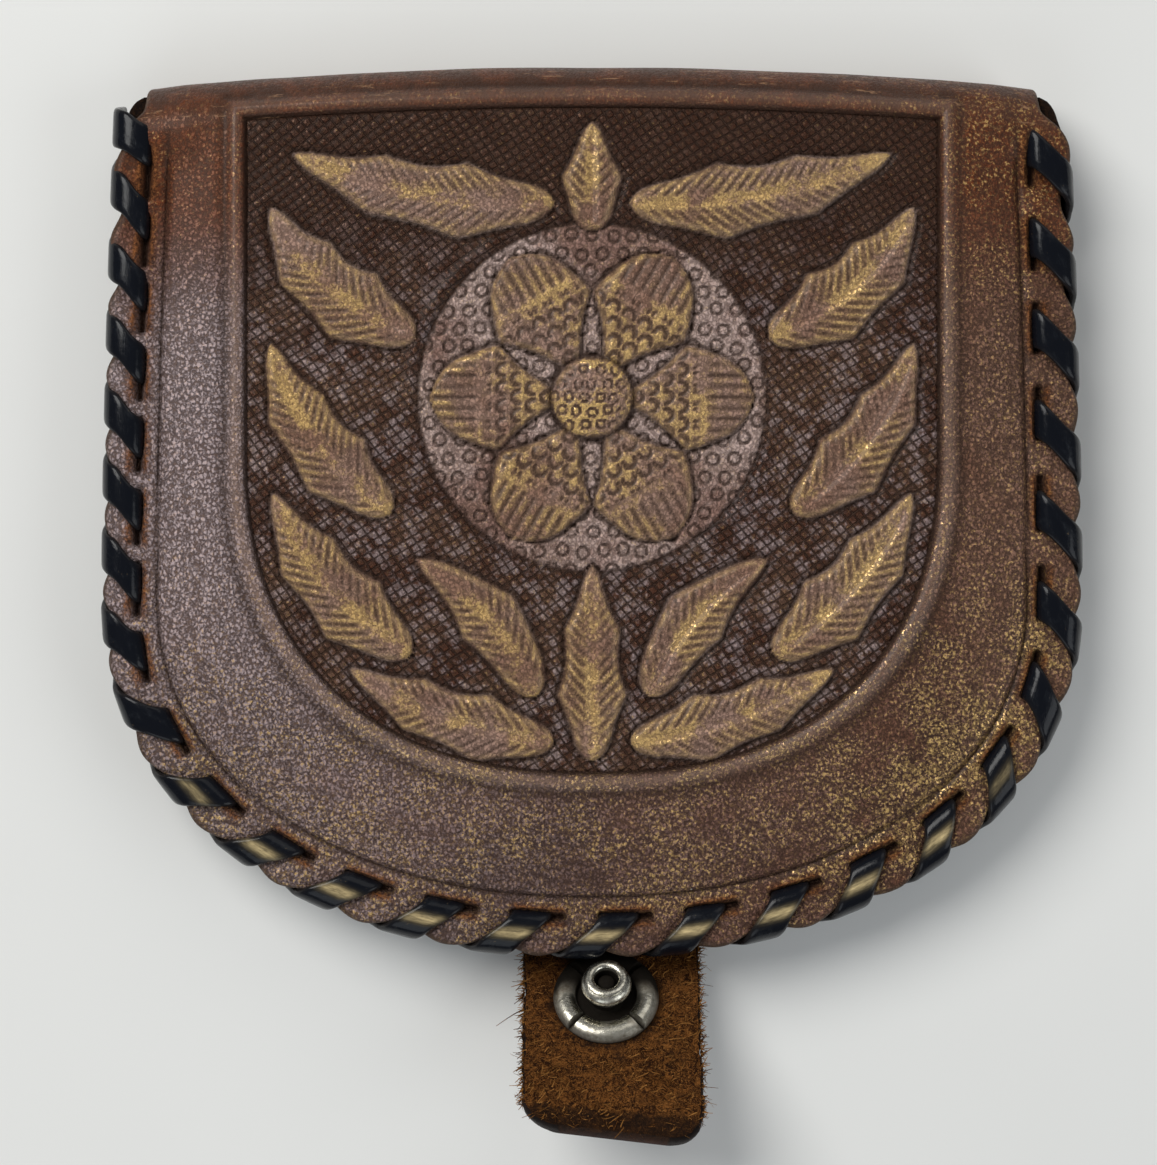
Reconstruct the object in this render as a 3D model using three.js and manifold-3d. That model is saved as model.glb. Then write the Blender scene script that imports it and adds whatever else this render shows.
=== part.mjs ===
// A small tooled leather coin purse with a horseshoe outline, lying on its closed flap.
// The tooled back panel looks up. The same hide folds over the top edge and runs back under
// the pocket as a flap, which ends in a narrow tab with a snap stud. The plain front panel is
// laced to the back panel round the sides and the bottom with one flat plastic lace.
// Units are millimetres. X runs across the purse, +Y towards the fold, +Z up.

import * as THREE from "three";
import { ParametricGeometry } from "three/addons/geometries/ParametricGeometry.js";
import { mergeVertices } from "three/addons/utils/BufferGeometryUtils.js";
import Module from "manifold-3d";

const wasm = await Module();
wasm.setup();

// Hide and clearances
const hide = 1.8; // thickness of the leather
const gap = 0.3; // clearance between pieces that touch on the real purse
const foldRadius = 5.6; // outer radius of the fold, half the closed thickness there
const foldTopY = 56.55; // furthest point of the fold
const foldBow = 2.2; // how far the fold's ends lie behind its middle
const foldEndInset = 3.5; // how far the ends of the fold lie inside the leather edge
const panelWrap = 26; // degrees of the fold that belong to the back panel
const flapWrapEnd = 176; // degrees where the fold strip hands over to the flap

// Laced outline, a U with a round bottom
const rimHalfWidth = 50.8; // leather edge of both panels
const rimLean = 1.3; // how much narrower the sides are at the top
const rimArcY = -0.3; // where the sides turn into the round bottom
const rimArcDepth = 36.85; // from there down to the leather edge
const rimPower = 2.15; // how square the round bottom is
const cornerReach = 4.2; // length of the rounded top corners
const flangeWidth = 4.4; // flat border that carries the lace, at the sides
const flangeExtra = 0.6; // how much wider the border is at the bottom
const flangeTop = 10.0; // top of the back panel's border
const edgeRound = 0.45; // worn roundness of the leather edges

// Back panel
const panelMarginTop = 10.9; // smooth leather between the border and the picture frame
const panelCrown = 0.45; // how much the middle stands above that
const bevelDepth = 0.35; // pressed line that follows the border
const bevelWidth = 0.6;
const fieldHalfWidth = 36.6; // tooled field
const fieldTopY = 51.7;
const fieldArcY = 15.45;
const fieldArcDepth = 34.1;
const fieldPower = 2.35;
const frameWidth = 1.9; // raised bead round the field
const frameHeight = 0.35;
const fieldSink = 0.55; // how deep the background is pressed
const reliefHeight = 0.75; // leaves and petals above the background

// Front panel, the pocket
const mouthY = 51.2; // top edge of the pocket
const pocketEarY = 53.6; // corners of the pocket that show beside the fold
const pocketEarWidth = 1.7;
const pocketDepth = 4.0; // how far the pocket bulges below its border
const socketSeatRise = 1.9; // the pocket is shallower round the snap socket
const seatEnd = 7.2; // from the socket's middle to where that begins to fade
const seatStart = 17.2; // and to where the pocket has its full depth again
const pocketRampWidth = 6.5; // slope between the border and the bulge

// Lace
const laceThickness = 0.9;
const laceAlong = 4.2; // lace width measured along the edge, about 3.2 square across
const laceTurn = 0.6; // how tightly the lace turns at the slits and the edge
const slitInset = 3.4; // from the leather edge to the middle of each slit
const tightInset = 2.8; // the same up the left side
const slitLength = 5.2;
const slitWidth = 1.6;
const laceTopY = 54.2; // height that the distances along the edge are measured from
const firstStitch = 6.6; // from there down the right side to the first slit
const lastStitch = 6.54; // from the last slit up the left side to the same height
const wideStitches = 19; // stitches down the right side and round the bottom
const tightStitches = 8; // closer stitches up the left side
const tightShare = 0.802; // their spacing against that of the others

// Flap and tab
const flapInset = 4.6; // flap edge inside the leather edge of the pocket
const flapTuck = 1; // how much narrower the flap is than the fold
const flapShoulderInside = 10.15; // from the leather edge in to where the flap narrows to the tab
const shoulderLength = 6; // from there to the even part of the tab
const shoulderFlare = 6; // width of the rounding on each side of it
const tabHalfWidth = 9.35;
const tabShift = 2.1; // the tab sits a little to one side
const tabBendInside = 2.55; // from the leather edge in to where the tab starts to curl up
const tabBendRadius = 6.0;
const tabTilt = 40; // degrees
const tabLength = 22.1; // straight part beyond the bend, at the middle
const tabEndSlant = 0.13; // slope of the cut end across the tab
const tabCorner = 3.4; // radius of the tab's corners

// Snap
const studX = 1.5;
const studAlongTab = 6.4; // from the end of the bend
const studRingRadius = 5.6;
const studRingHeight = 1.35;
const studRingBore = 3.1;
const studNeckRadius = 1.75;
const studNeckTop = 1.6;
const studKnobRadius = 2.65;
const studHeight = 4.3;
const studHollowRadius = 1.25;
const studSlitWidth = 0.4;
const barrelRadius = 0.9; // posts that pass through the leather
const capRadius = 5.2;
const capThickness = 0.8;
const socketInside = 16.95; // from the leather edge in to the socket's middle
const socketRadius = 5.6;
const socketHeight = 1.6;
const socketBore = 2.95;
const springWire = 0.22; // radius of the wire
const springRadius = 3.55;
const springOpening = 0.35; // radians on each side of the gap in the wire
const snapSheet = 0.35; // thickness of the snap's pressed metal
const snapRound = 0.5; // rounding of its rims

// Colours of the photographed materials
const brownLeather = { color: 0x4a2c20, roughness: 0.45, metalness: 0 };
const redLeather = { color: 0x6a3216, roughness: 0.4, metalness: 0 };
const suede = { color: 0x5e3616, roughness: 0.95, metalness: 0 };
const blackLace = { color: 0x0c0f14, roughness: 0.18, metalness: 0 };
const nickel = { color: 0x8f8a7c, roughness: 0.35, metalness: 0.9 };
const springSteel = { color: 0xa5a5a0, roughness: 0.3, metalness: 1 };

// Worked out from the sizes above
const rimBottomY = rimArcY - rimArcDepth;
const foldHalfWidth = rimHalfWidth - foldEndInset;
const flapShoulderY = rimBottomY + flapShoulderInside;
const tabBendY = rimBottomY + tabBendInside;
const socketY = rimBottomY + socketInside;
const foldZ = foldRadius;
const foldY = foldTopY - foldRadius;
const foldMidRadius = foldRadius - hide / 2;
const wrapAngle = THREE.MathUtils.degToRad(panelWrap);
const panelEndY = foldY + foldMidRadius * wrapAngle;
const flangeBottom = flangeTop - hide;
const pocketFlangeTop = flangeBottom - gap;
const pocketFlangeBottom = pocketFlangeTop - hide;
const laceTopZ = flangeTop + gap + laceThickness / 2;
const laceBottomZ = pocketFlangeBottom - gap - laceThickness / 2;
const laceOutside = gap + laceThickness / 2;
const stitchCount = wideStitches + tightStitches;
const tiltAngle = THREE.MathUtils.degToRad(tabTilt);

const lerp = THREE.MathUtils.lerp;
const smooth = (t) => THREE.MathUtils.smoothstep(t, 0, 1);
const clamp = THREE.MathUtils.clamp;

// Solids

// A closed geometry as a manifold solid: only positions, shared vertices merged, no slivers.
function solid(geometry) {
  const bare = new THREE.BufferGeometry();
  bare.setAttribute("position", geometry.getAttribute("position").clone());
  bare.setIndex(geometry.index ? geometry.index.clone() : null);
  const merged = mergeVertices(bare, 1e-4);
  const kept = [];
  for (let i = 0; i < merged.index.count; i += 3) {
    const [a, b, c] = [0, 1, 2].map((k) => merged.index.getX(i + k));
    if (a !== b && b !== c && c !== a) kept.push(a, b, c);
  }
  const made = new wasm.Manifold(
    new wasm.Mesh({
      numProp: 3,
      vertProperties: merged.attributes.position.array,
      triVerts: new Uint32Array(kept),
    }),
  );
  return made;
}

// A manifold solid back as a three.js geometry with flat shaded faces.
function geometryOf(made) {
  const mesh = made.getMesh();
  const geometry = new THREE.BufferGeometry();
  geometry.setAttribute("position", new THREE.BufferAttribute(new Float32Array(mesh.vertProperties), 3));
  geometry.setIndex(new THREE.BufferAttribute(new Uint32Array(mesh.triVerts), 1));
  const flat = geometry.toNonIndexed();
  flat.computeVertexNormals();
  return flat;
}

function placed(geometry, position, rotation = [0, 0, 0]) {
  const matrix = new THREE.Matrix4().makeRotationFromEuler(new THREE.Euler(...rotation));
  matrix.setPosition(...position);
  return geometry.applyMatrix4(matrix);
}

const group = new THREE.Group();
group.name = "tooled_leather_coin_purse";

function add(name, made, look) {
  const mesh = new THREE.Mesh(geometryOf(made), new THREE.MeshStandardMaterial(look));
  mesh.name = name;
  group.add(mesh);
}

// The laced outline

// One point of a U, u from the top of the right side round the bottom to the top of the left.
const sideShare = 0.3;
const sideRows = 1.8; // rows of vertices crowd towards the top

function uPoint(u, { halfWidth, arcY, arcDepth, power, topY, lean, corner }) {
  const side = u < sideShare || u > 1 - sideShare;
  if (!side) {
    const angle = ((u - sideShare) / (1 - 2 * sideShare)) * Math.PI;
    const across = Math.sign(Math.cos(angle)) * Math.abs(Math.cos(angle)) ** (2 / power);
    return [halfWidth * across, arcY - arcDepth * Math.sin(angle) ** (2 / power)];
  }
  const down = Math.min(u, 1 - u) / sideShare;
  const y = lerp(topY, arcY, down ** sideRows);
  const up = (y - arcY) / (mouthY - arcY);
  const rounding = clamp((y - (topY - cornerReach)) / cornerReach, 0, 1);
  const cut = corner * (1 - Math.sqrt(1 - rounding * rounding));
  const x = halfWidth - lean * Math.max(0, up) ** 1.6 - cut;
  return [u < 0.5 ? x : -x, y];
}

// A ring of the U at a distance inside the leather edge, and a little more at the bottom.
function rimRing(inset, topY, corner, extra = 0) {
  return (u) =>
    uPoint(u, {
      halfWidth: rimHalfWidth - inset,
      arcY: rimArcY,
      arcDepth: rimArcDepth - inset - extra,
      power: rimPower,
      topY,
      lean: rimLean,
      corner,
    });
}

// A ring that follows the tooled field, grown outwards or shrunk about its middle.
function fieldRing(growth, share, topY) {
  return (u) =>
    uPoint(u, {
      halfWidth: (fieldHalfWidth + growth) * share,
      arcY: fieldArcY,
      arcDepth: (fieldArcDepth + growth) * share,
      power: fieldPower,
      topY,
      lean: 0,
      corner: 0,
    });
}

const between = (a, b, t) => (u) => a(u).map((value, i) => lerp(value, b(u)[i], t));

class RimCurve extends THREE.Curve {
  getPoint(t, target = new THREE.Vector3()) {
    const [x, y] = rimRing(0, laceTopY, 0)(t);
    return target.set(x, y, 0);
  }
}
const rimCurve = new RimCurve();
rimCurve.arcLengthDivisions = 1200;
const rimLength = rimCurve.getLength();

// A point of the rim at a distance along it, moved inwards and lifted.
function rimPlace(along, inward, z) {
  const u = clamp(along / rimLength, 0, 1);
  const point = rimCurve.getPointAt(u);
  const tangent = rimCurve.getTangentAt(u);
  return new THREE.Vector3(point.x + tangent.y * inward, point.y - tangent.x * inward, z);
}

// Distance along the rim of each slit's middle, and of one more for the last stitch to aim at.
const stitchRun = rimLength - firstStitch - lastStitch;
const stitchPitch = stitchRun / (wideStitches + tightShare * (tightStitches - 1));
const stitchPlaces = Array.from({ length: stitchCount + 1 }, (_, k) => {
  const pitches = Math.min(k, wideStitches) + tightShare * Math.max(0, k - wideStitches);
  return firstStitch + stitchPitch * pitches;
});

// Panels

// The fold is bowed at the top edge and straight where the flap starts.
const bowAt = (x) => foldBow * Math.min(1, (x / foldHalfWidth) ** 2);

// Bends a flat sheet point over the fold and gives it the fold's bow.
function bend(x, y, z) {
  const turn = Math.max(0, y - foldY) / foldMidRadius;
  const reach = z - foldZ;
  const bentY = Math.min(y, foldY) + reach * Math.sin(turn);
  const bowShare = smooth((y - fieldArcY) / (foldY - fieldArcY));
  return [x, bentY - bowAt(x) * bowShare, foldZ + reach * Math.cos(turn)];
}

// A closed sheet through rings from the leather edge to the middle. Each ring gives its
// outline, its top and its thickness; the ends at the mouth close on the sheet's middle.
function sheet(rings, slices, topOf, shape) {
  const count = rings.length;
  const grid = (u, v, target) => {
    const row = Math.round(v * (2 * count - 1));
    const top = row < count;
    const ring = rings[top ? count - 1 - row : row - count];
    const slice = Math.round(u * (slices + 2));
    const inside = clamp((slice - 1) / slices, 0, 1);
    const [x, y] = ring.outline(inside);
    const high = topOf(ring, x, y);
    const low = high - ring.thickness;
    const closing = slice === 0 || slice === slices + 2;
    const z = closing ? (high + low) / 2 : top ? high : low;
    target.set(...shape(x, y, z));
  };
  return solid(new ParametricGeometry(grid, slices + 2, 2 * count - 1));
}

// A slit through the border for each stitch.
const insetOf = (stitch) => (stitch < wideStitches ? slitInset : tightInset);

function slits(bottom, top) {
  const height = top - bottom;
  return stitchPlaces.slice(0, stitchCount).map((along, stitch) => {
    const middle = rimPlace(along, insetOf(stitch), (bottom + top) / 2);
    const tangent = rimCurve.getTangentAt(along / rimLength);
    const box = new THREE.BoxGeometry(slitLength, slitWidth, height);
    return solid(placed(box, middle.toArray(), [0, 0, Math.atan2(tangent.y, tangent.x)]));
  });
}

const without = (made, cutters) => cutters.reduce((rest, cutter) => rest.subtract(cutter), made);
const withAll = (made, extras) => extras.reduce((whole, extra) => whole.add(extra), made);

// Height of the smooth back panel's crown above its margin.
function crownAt(x, y) {
  const across = clamp(1 - (x / rimHalfWidth) ** 2, 0, 1);
  const along = clamp(1 - ((y - fieldArcY) / (foldTopY - fieldArcY)) ** 2, 0, 1);
  return panelCrown * across * along;
}

// How far a point lies inside the tooled field, measured from its frame line.
function fieldDepth(x, y) {
  if (y >= fieldArcY) return Math.min(fieldHalfWidth - Math.abs(x), fieldTopY - y);
  const across = Math.abs(x / fieldHalfWidth) ** fieldPower;
  const down = Math.abs((fieldArcY - y) / fieldArcDepth) ** fieldPower;
  const radius = (across + down) ** (1 / fieldPower);
  return (1 - radius) * Math.min(fieldHalfWidth, fieldArcDepth);
}

// Pressed background of the field, which the leaves and petals stand on.
const fieldFloor = (x, y) => panelMarginTop + crownAt(x, y) - fieldSink;

function backPanelTop(ring, x, y) {
  if (ring.level !== undefined) return ring.level;
  const smoothTop = lerp(flangeTop, panelMarginTop, ring.rise) + crownAt(x, y) * ring.rise;
  const depth = fieldDepth(x, y);
  if (depth > 0) return smoothTop - fieldSink * smooth(depth / (frameWidth / 3));
  const bead = Math.sin(Math.PI * clamp(-depth / frameWidth, 0, 1));
  return smoothTop + frameHeight * bead;
}

function backPanel() {
  const ring = (inset) => rimRing(inset, panelEndY, cornerReach, flangeExtra * smooth(inset / flangeWidth));
  const plain = ring(flangeWidth + 3 * bevelWidth);
  const outerFrame = fieldRing(frameWidth, 1, panelEndY);
  const edge = { level: flangeTop - edgeRound, thickness: hide - 2 * edgeRound };
  const groove = { level: flangeTop - bevelDepth, thickness: hide - bevelDepth };
  const rings = [
    { outline: ring(0), ...edge },
    { outline: ring(edgeRound), level: flangeTop, thickness: hide },
    { outline: ring(flangeWidth), level: flangeTop, thickness: hide },
    { outline: ring(flangeWidth + bevelWidth), ...groove },
    { outline: ring(flangeWidth + 2 * bevelWidth), rise: 0.3, thickness: hide },
    { outline: between(plain, outerFrame, 0.4), rise: 0.85, thickness: hide },
    { outline: outerFrame, rise: 1, thickness: hide },
    { outline: fieldRing(frameWidth / 2, 1, panelEndY), rise: 1, thickness: hide + frameHeight },
    { outline: fieldRing(0, 1, panelEndY), rise: 1, thickness: hide },
    { outline: fieldRing(-frameWidth / 3, 1, panelEndY), rise: 1, thickness: hide - fieldSink },
    { outline: fieldRing(0, 0.6, panelEndY), rise: 1, thickness: hide - fieldSink },
    { outline: fieldRing(0, 0, panelEndY), rise: 1, thickness: hide - fieldSink },
  ];
  const base = sheet(rings, 38, backPanelTop, bend);
  const cut = without(base, slits(pocketFlangeBottom, flangeTop + gap));
  return withAll(cut, motif());
}

// The pocket's outside face, lowest in the middle and shallower round the snap socket.
function pocketBottom(ring, x, y) {
  const seat = smooth((socketY + seatStart - y) / (seatStart - seatEnd));
  return pocketFlangeBottom - ring.sink * (pocketDepth - socketSeatRise * seat);
}

function frontPanel() {
  const rampMiddle = flangeWidth + pocketRampWidth / 2;
  const rampEnd = flangeWidth + pocketRampWidth;
  const ear = (inset) => rimRing(inset, pocketEarY - inset / 2, pocketEarWidth - inset);
  const border = rimRing(flangeWidth, mouthY, 0, flangeExtra);
  const middle = (u) => [0, Math.max(rimRing(0, mouthY, 0)(u)[1], rimArcY)];
  const rings = [
    { outline: ear(0), sink: 0, thickness: hide - 2 * edgeRound, lift: -edgeRound },
    { outline: ear(edgeRound), sink: 0, thickness: hide, lift: 0 },
    { outline: ear(pocketEarWidth), sink: 0, thickness: hide, lift: 0 },
    { outline: rimRing(pocketEarWidth + edgeRound, mouthY, 0), sink: 0, thickness: hide, lift: 0 },
    { outline: border, sink: 0, thickness: hide, lift: 0 },
    { outline: rimRing(rampMiddle, mouthY, 0), sink: 0.62, thickness: hide, lift: 0 },
    { outline: rimRing(rampEnd, mouthY, 0), sink: 0.94, thickness: hide, lift: 0 },
    { outline: rimRing(rampEnd * 2, mouthY, 0), sink: 1, thickness: hide, lift: 0 },
    { outline: middle, sink: 1, thickness: hide, lift: 0 },
  ];
  const topOf = (ring, x, y) => pocketBottom(ring, x, y) + hide + ring.lift;
  const plainShape = (x, y, z) => [x, y, z];
  const base = sheet(rings, 30, topOf, plainShape);
  const post = new THREE.CylinderGeometry(barrelRadius + gap, barrelRadius + gap, 4 * hide, 12);
  const hole = solid(placed(post, [studX, socketY, socketZ + hide], [Math.PI / 2, 0, 0]));
  return without(base, [...slits(pocketFlangeBottom - gap, flangeBottom), hole]);
}

// Tooled relief, a mirrored spray of leaves round one flower

// A pillow with a pressed midrib: a half width along a bent centre line, flat below.
function leafSolid({ from, to, bow, width, lobes, peak = 0.75, height = reliefHeight }) {
  const start = new THREE.Vector2(...from);
  const end = new THREE.Vector2(...to);
  const along = end.clone().sub(start);
  const side = new THREE.Vector2(-along.y, along.x).multiplyScalar(bow);
  const middle = start.clone().add(end).multiplyScalar(0.5).add(side);
  const spine = new THREE.QuadraticBezierCurve(start, middle, end);
  const section = [
    [-1, 0],
    [-0.5, 1],
    [0, 0.45],
    [0.5, 1],
    [1, 0],
    [0, -1.2],
  ];
  const stations = 3 * lobes;
  const grid = (u, v, target) => {
    const t = Math.round(u * stations) / stations;
    const corner = section[Math.round(v * section.length) % section.length];
    const point = spine.getPoint(t);
    const tangent = spine.getTangent(t);
    const body = t > 0 && t < 1;
    const swell = body ? Math.sin(Math.PI * t ** peak) ** 0.7 : 0;
    const lobe = 1 - lobeDepth * Math.abs(Math.sin(Math.PI * lobes * t));
    const reach = width * swell * lobe * corner[0];
    const x = point.x - tangent.y * reach;
    const y = point.y + tangent.x * reach;
    const lift = body ? corner[1] : 0;
    target.set(...bend(x, y, fieldFloor(x, y) + lift * height));
  };
  return solid(new ParametricGeometry(grid, stations, section.length));
}

// A petal is a short, wide leaf without lobes round the flower's middle.
function petals({ centre, inner, outer, width, count, turn }) {
  return Array.from({ length: count }, (_, k) => {
    const angle = turn + (k * 2 * Math.PI) / count;
    const direction = [Math.sin(angle), Math.cos(angle)];
    return leafSolid({
      from: centre.map((value, i) => value + direction[i] * inner),
      to: centre.map((value, i) => value + direction[i] * outer),
      bow: 0,
      width,
      lobes: 2,
      peak: 1.6,
    });
  });
}

const lobeDepth = 0.22;
const flower = { centre: [0, 21], inner: 2.5, outer: 17, width: 6.2, count: 6, turn: Math.PI / 6 };
const flowerHeartRadius = 4.4;
const flowerHeartFlatness = 0.32;
const flowerHeartLift = 0.1;
const sprays = [
  { from: [4, -15.2], to: [25.5, -7.5], bow: -0.12, width: 3.8, lobes: 3 },
  { from: [19, -6], to: [33.6, 11], bow: -0.16, width: 4.3, lobes: 3 },
  { from: [6, -10.5], to: [18.5, 4], bow: 0.18, width: 3.7, lobes: 2 },
  { from: [21, 9], to: [33.8, 27], bow: -0.2, width: 4.2, lobes: 3 },
  { from: [18.5, 27.5], to: [33.8, 42], bow: -0.22, width: 4.4, lobes: 3 },
  { from: [4, 41.5], to: [31.5, 47.6], bow: -0.14, width: 4.2, lobes: 3 },
];
const middleLeaves = [
  { from: [0, 38.5], to: [0, 50], bow: 0, width: 3.4, lobes: 2 },
  { from: [0, -17.2], to: [0, 3.4], bow: 0, width: 3.8, lobes: 3 },
];

function mirrored({ from, to, bow, ...rest }) {
  return { from: [-from[0], from[1]], to: [-to[0], to[1]], bow: -bow, ...rest };
}

function motif() {
  const leaves = [...sprays, ...sprays.map(mirrored), ...middleLeaves].map(leafSolid);
  const heart = new THREE.SphereGeometry(flowerHeartRadius, 14, 6).scale(1, 1, flowerHeartFlatness);
  const heartZ = fieldFloor(...flower.centre) + flowerHeartLift;
  return [...leaves, ...petals(flower), solid(heart.translate(...flower.centre, heartZ))];
}

// Lace

// The lace's route round one stitch, seen along the edge: share of the pitch, inset and height.
function laceStep(step, stitch) {
  const hole = insetOf(stitch);
  const nextHole = insetOf(stitch + 1);
  const midZ = (laceTopZ + laceBottomZ) / 2;
  const turned = laceTurn / 2 - laceOutside;
  const route = [
    [0, hole, laceBottomZ + laceTurn],
    [0, hole, laceTopZ - laceTurn],
    [0.06, hole - laceTurn, laceTopZ],
    [0.36, laceTurn / 2, laceTopZ],
    [0.44, turned, laceTopZ - laceTurn],
    [0.53, -laceOutside, midZ],
    [0.62, turned, laceBottomZ + laceTurn],
    [0.69, laceTurn / 2, laceBottomZ],
    [0.97, nextHole - laceTurn, laceBottomZ],
  ];
  return route[step];
}
const laceSteps = 9;

function lace() {
  const centres = [];
  for (let k = 0; k < stitchCount; k += 1) {
    const pitch = stitchPlaces[k + 1] - stitchPlaces[k];
    for (let step = 0; step < laceSteps; step += 1) {
      const [share, inward, z] = laceStep(step, k);
      centres.push([stitchPlaces[k] + share * pitch, inward, z]);
    }
  }
  const tail = centres.slice(0, -2); // the lace ends where the last stitch turns under the edge
  const last = tail.length - 1;
  // Square to the route in the plane across the edge
  const across = (i) => {
    const before = tail[Math.max(0, i - 1)];
    const after = tail[Math.min(last, i + 1)];
    const flat = new THREE.Vector2(after[1] - before[1], after[2] - before[2]).normalize();
    return [-flat.y, flat.x];
  };
  const corners = [
    [-1, 1],
    [1, 1],
    [1, -1],
    [-1, -1],
  ];
  const grid = (u, v, target) => {
    const i = clamp(Math.round(u * (last + 2)) - 1, 0, last);
    const closing = Math.round(u * (last + 2)) === 0 || Math.round(u * (last + 2)) === last + 2;
    const [side, face] = corners[Math.round(v * 4) % 4];
    const [along, inward, z] = tail[i];
    const [normalIn, normalZ] = across(i);
    const reach = (face * (closing ? 0 : laceThickness)) / 2;
    const place = rimPlace(clamp(along, 0, rimLength), inward + normalIn * reach, z + normalZ * reach);
    const tangent = rimCurve.getTangentAt(clamp(along / rimLength, 0, 1));
    target.copy(place).addScaledVector(tangent, (side * laceAlong) / 2);
  };
  return solid(new ParametricGeometry(grid, last + 2, 4));
}

// Fold strip

function foldStrip() {
  const gapAngle = gap / foldMidRadius;
  const from = wrapAngle + gapAngle;
  const to = THREE.MathUtils.degToRad(flapWrapEnd) - gapAngle;
  const outline = new THREE.Shape();
  outline.absarc(0, 0, foldRadius, Math.PI / 2 - to, Math.PI / 2 - from, false);
  outline.absarc(0, 0, foldRadius - hide, Math.PI / 2 - from, Math.PI / 2 - to, true);
  const across = 6;
  const strip = new THREE.ExtrudeGeometry(outline, {
    depth: 2 * foldHalfWidth,
    steps: across,
    bevelEnabled: false,
    curveSegments: 7,
  });
  // The outline's X is the purse's Y and its Y is up.
  const position = strip.getAttribute("position");
  for (let i = 0; i < position.count; i += 1) {
    const x = position.getZ(i) - foldHalfWidth;
    const below = Math.atan2(-position.getY(i), position.getX(i)) / (Math.PI / 2);
    const y = foldY + position.getX(i) - bowAt(x) * (1 - smooth(below));
    const z = foldZ + position.getY(i);
    position.setXYZ(i, x, y, z);
  }
  return solid(strip);
}

// Flap and tab

const flapStartY = foldY + foldMidRadius * Math.sin(Math.PI - THREE.MathUtils.degToRad(flapWrapEnd)) - gap;
const flatLength = flapStartY - tabBendY;
const bendLength = tabBendRadius * tiltAngle;

// The middle line of the flap and tab in the YZ plane, at a distance from the fold.
function flapLine(along) {
  if (along <= flatLength) return { y: flapStartY - along, z: hide / 2, tilt: 0 };
  const onBend = Math.min(along - flatLength, bendLength);
  const tilt = onBend / tabBendRadius;
  const past = Math.max(0, along - flatLength - bendLength);
  return {
    y: tabBendY - tabBendRadius * Math.sin(tilt) - past * Math.cos(tilt),
    z: hide / 2 + tabBendRadius * (1 - Math.cos(tilt)) + past * Math.sin(tilt),
    tilt,
  };
}

const studAlong = flatLength + bendLength + studAlongTab;
const studLine = flapLine(studAlong);

function flap() {
  const total = flatLength + bendLength + tabLength;
  const ringEnd = studAlong + studRingRadius;
  const shoulder = flapStartY - flapShoulderY;
  // Distances from the fold of the sections: wide part, shoulder, tab and round end
  const wideShares = [0, 0.04, 0.1, 0.3, 0.5, 0.62, 0.72, 0.8, 0.87, 0.93, 0.97, 1];
  const wide = wideShares.map((share) => share * shoulder);
  const neck = [0.2, 0.5, 0.9].map((share) => shoulder + share * shoulderLength);
  const curl = [0, 0.34, 0.67, 1].map((share) => flatLength + share * bendLength);
  const rounding = (share) => tabCorner * (1 - Math.sin((share * Math.PI) / 2));
  const end = [0, 0.3, 0.6, 0.85, 1].map((share) => total - rounding(share));
  const stations = [...wide, ...neck, ...curl, ...end];
  const halfWidthAt = (along) => {
    const y = flapLine(along).y;
    if (along <= shoulder) {
      const drop = clamp((rimArcY - y) / (rimArcDepth - flapInset), 0, 1);
      const round = (1 - drop ** rimPower) ** (1 / rimPower);
      return (foldHalfWidth - flapTuck) * Math.min(1, round);
    }
    const cornerShare = clamp((along - (total - tabCorner)) / tabCorner, 0, 1);
    const tabWidth = tabHalfWidth - tabCorner * (1 - Math.sqrt(1 - cornerShare ** 2));
    const flare = clamp(1 - (along - shoulder) / (shoulderLength / 2), 0, 1);
    return tabWidth + shoulderFlare * flare ** 2;
  };
  const section = [
    [-1, -1],
    [-1, 1],
    [1, 1],
    [1, -1],
  ];
  const count = stations.length;
  const grid = (u, v, target) => {
    const index = Math.round(u * (count + 1));
    const i = clamp(index - 1, 0, count - 1);
    const closing = index === 0 || index === count + 1;
    const along = stations[i];
    const [side, face] = section[Math.round(v * 4) % 4];
    const halfWidth = halfWidthAt(along);
    const shifted = smooth((along - shoulder) / shoulderLength);
    const x = tabShift * shifted + side * halfWidth;
    const pastStud = clamp((along - ringEnd) / (total - ringEnd), 0, 1);
    const slant = (x - tabShift) * tabEndSlant * pastStud;
    const place = flapLine(along + slant);
    const reach = (face * (closing ? 0 : hide)) / 2;
    target.set(x, place.y + reach * Math.sin(place.tilt), place.z + reach * Math.cos(place.tilt));
  };
  const made = solid(new ParametricGeometry(grid, count + 1, 4));
  const hole = new THREE.CylinderGeometry(barrelRadius + gap, barrelRadius + gap, 3 * hide, 12);
  return made.subtract(solid(onTab(hole.rotateX(Math.PI / 2), 0)));
}

// Puts a piece that is modelled along +Z on the tab, a height above the tab's middle.
function onTab(geometry, height) {
  const turned = geometry.applyMatrix4(new THREE.Matrix4().makeRotationX(-studLine.tilt));
  const y = studLine.y + height * Math.sin(studLine.tilt);
  const z = studLine.z + height * Math.cos(studLine.tilt);
  return turned.translate(studX, y, z);
}

// Snap

const lathe = (points, segments) => {
  const profile = points.map(([radius, z]) => new THREE.Vector2(radius, z));
  return new THREE.LatheGeometry(profile, segments).rotateX(Math.PI / 2);
};

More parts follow.
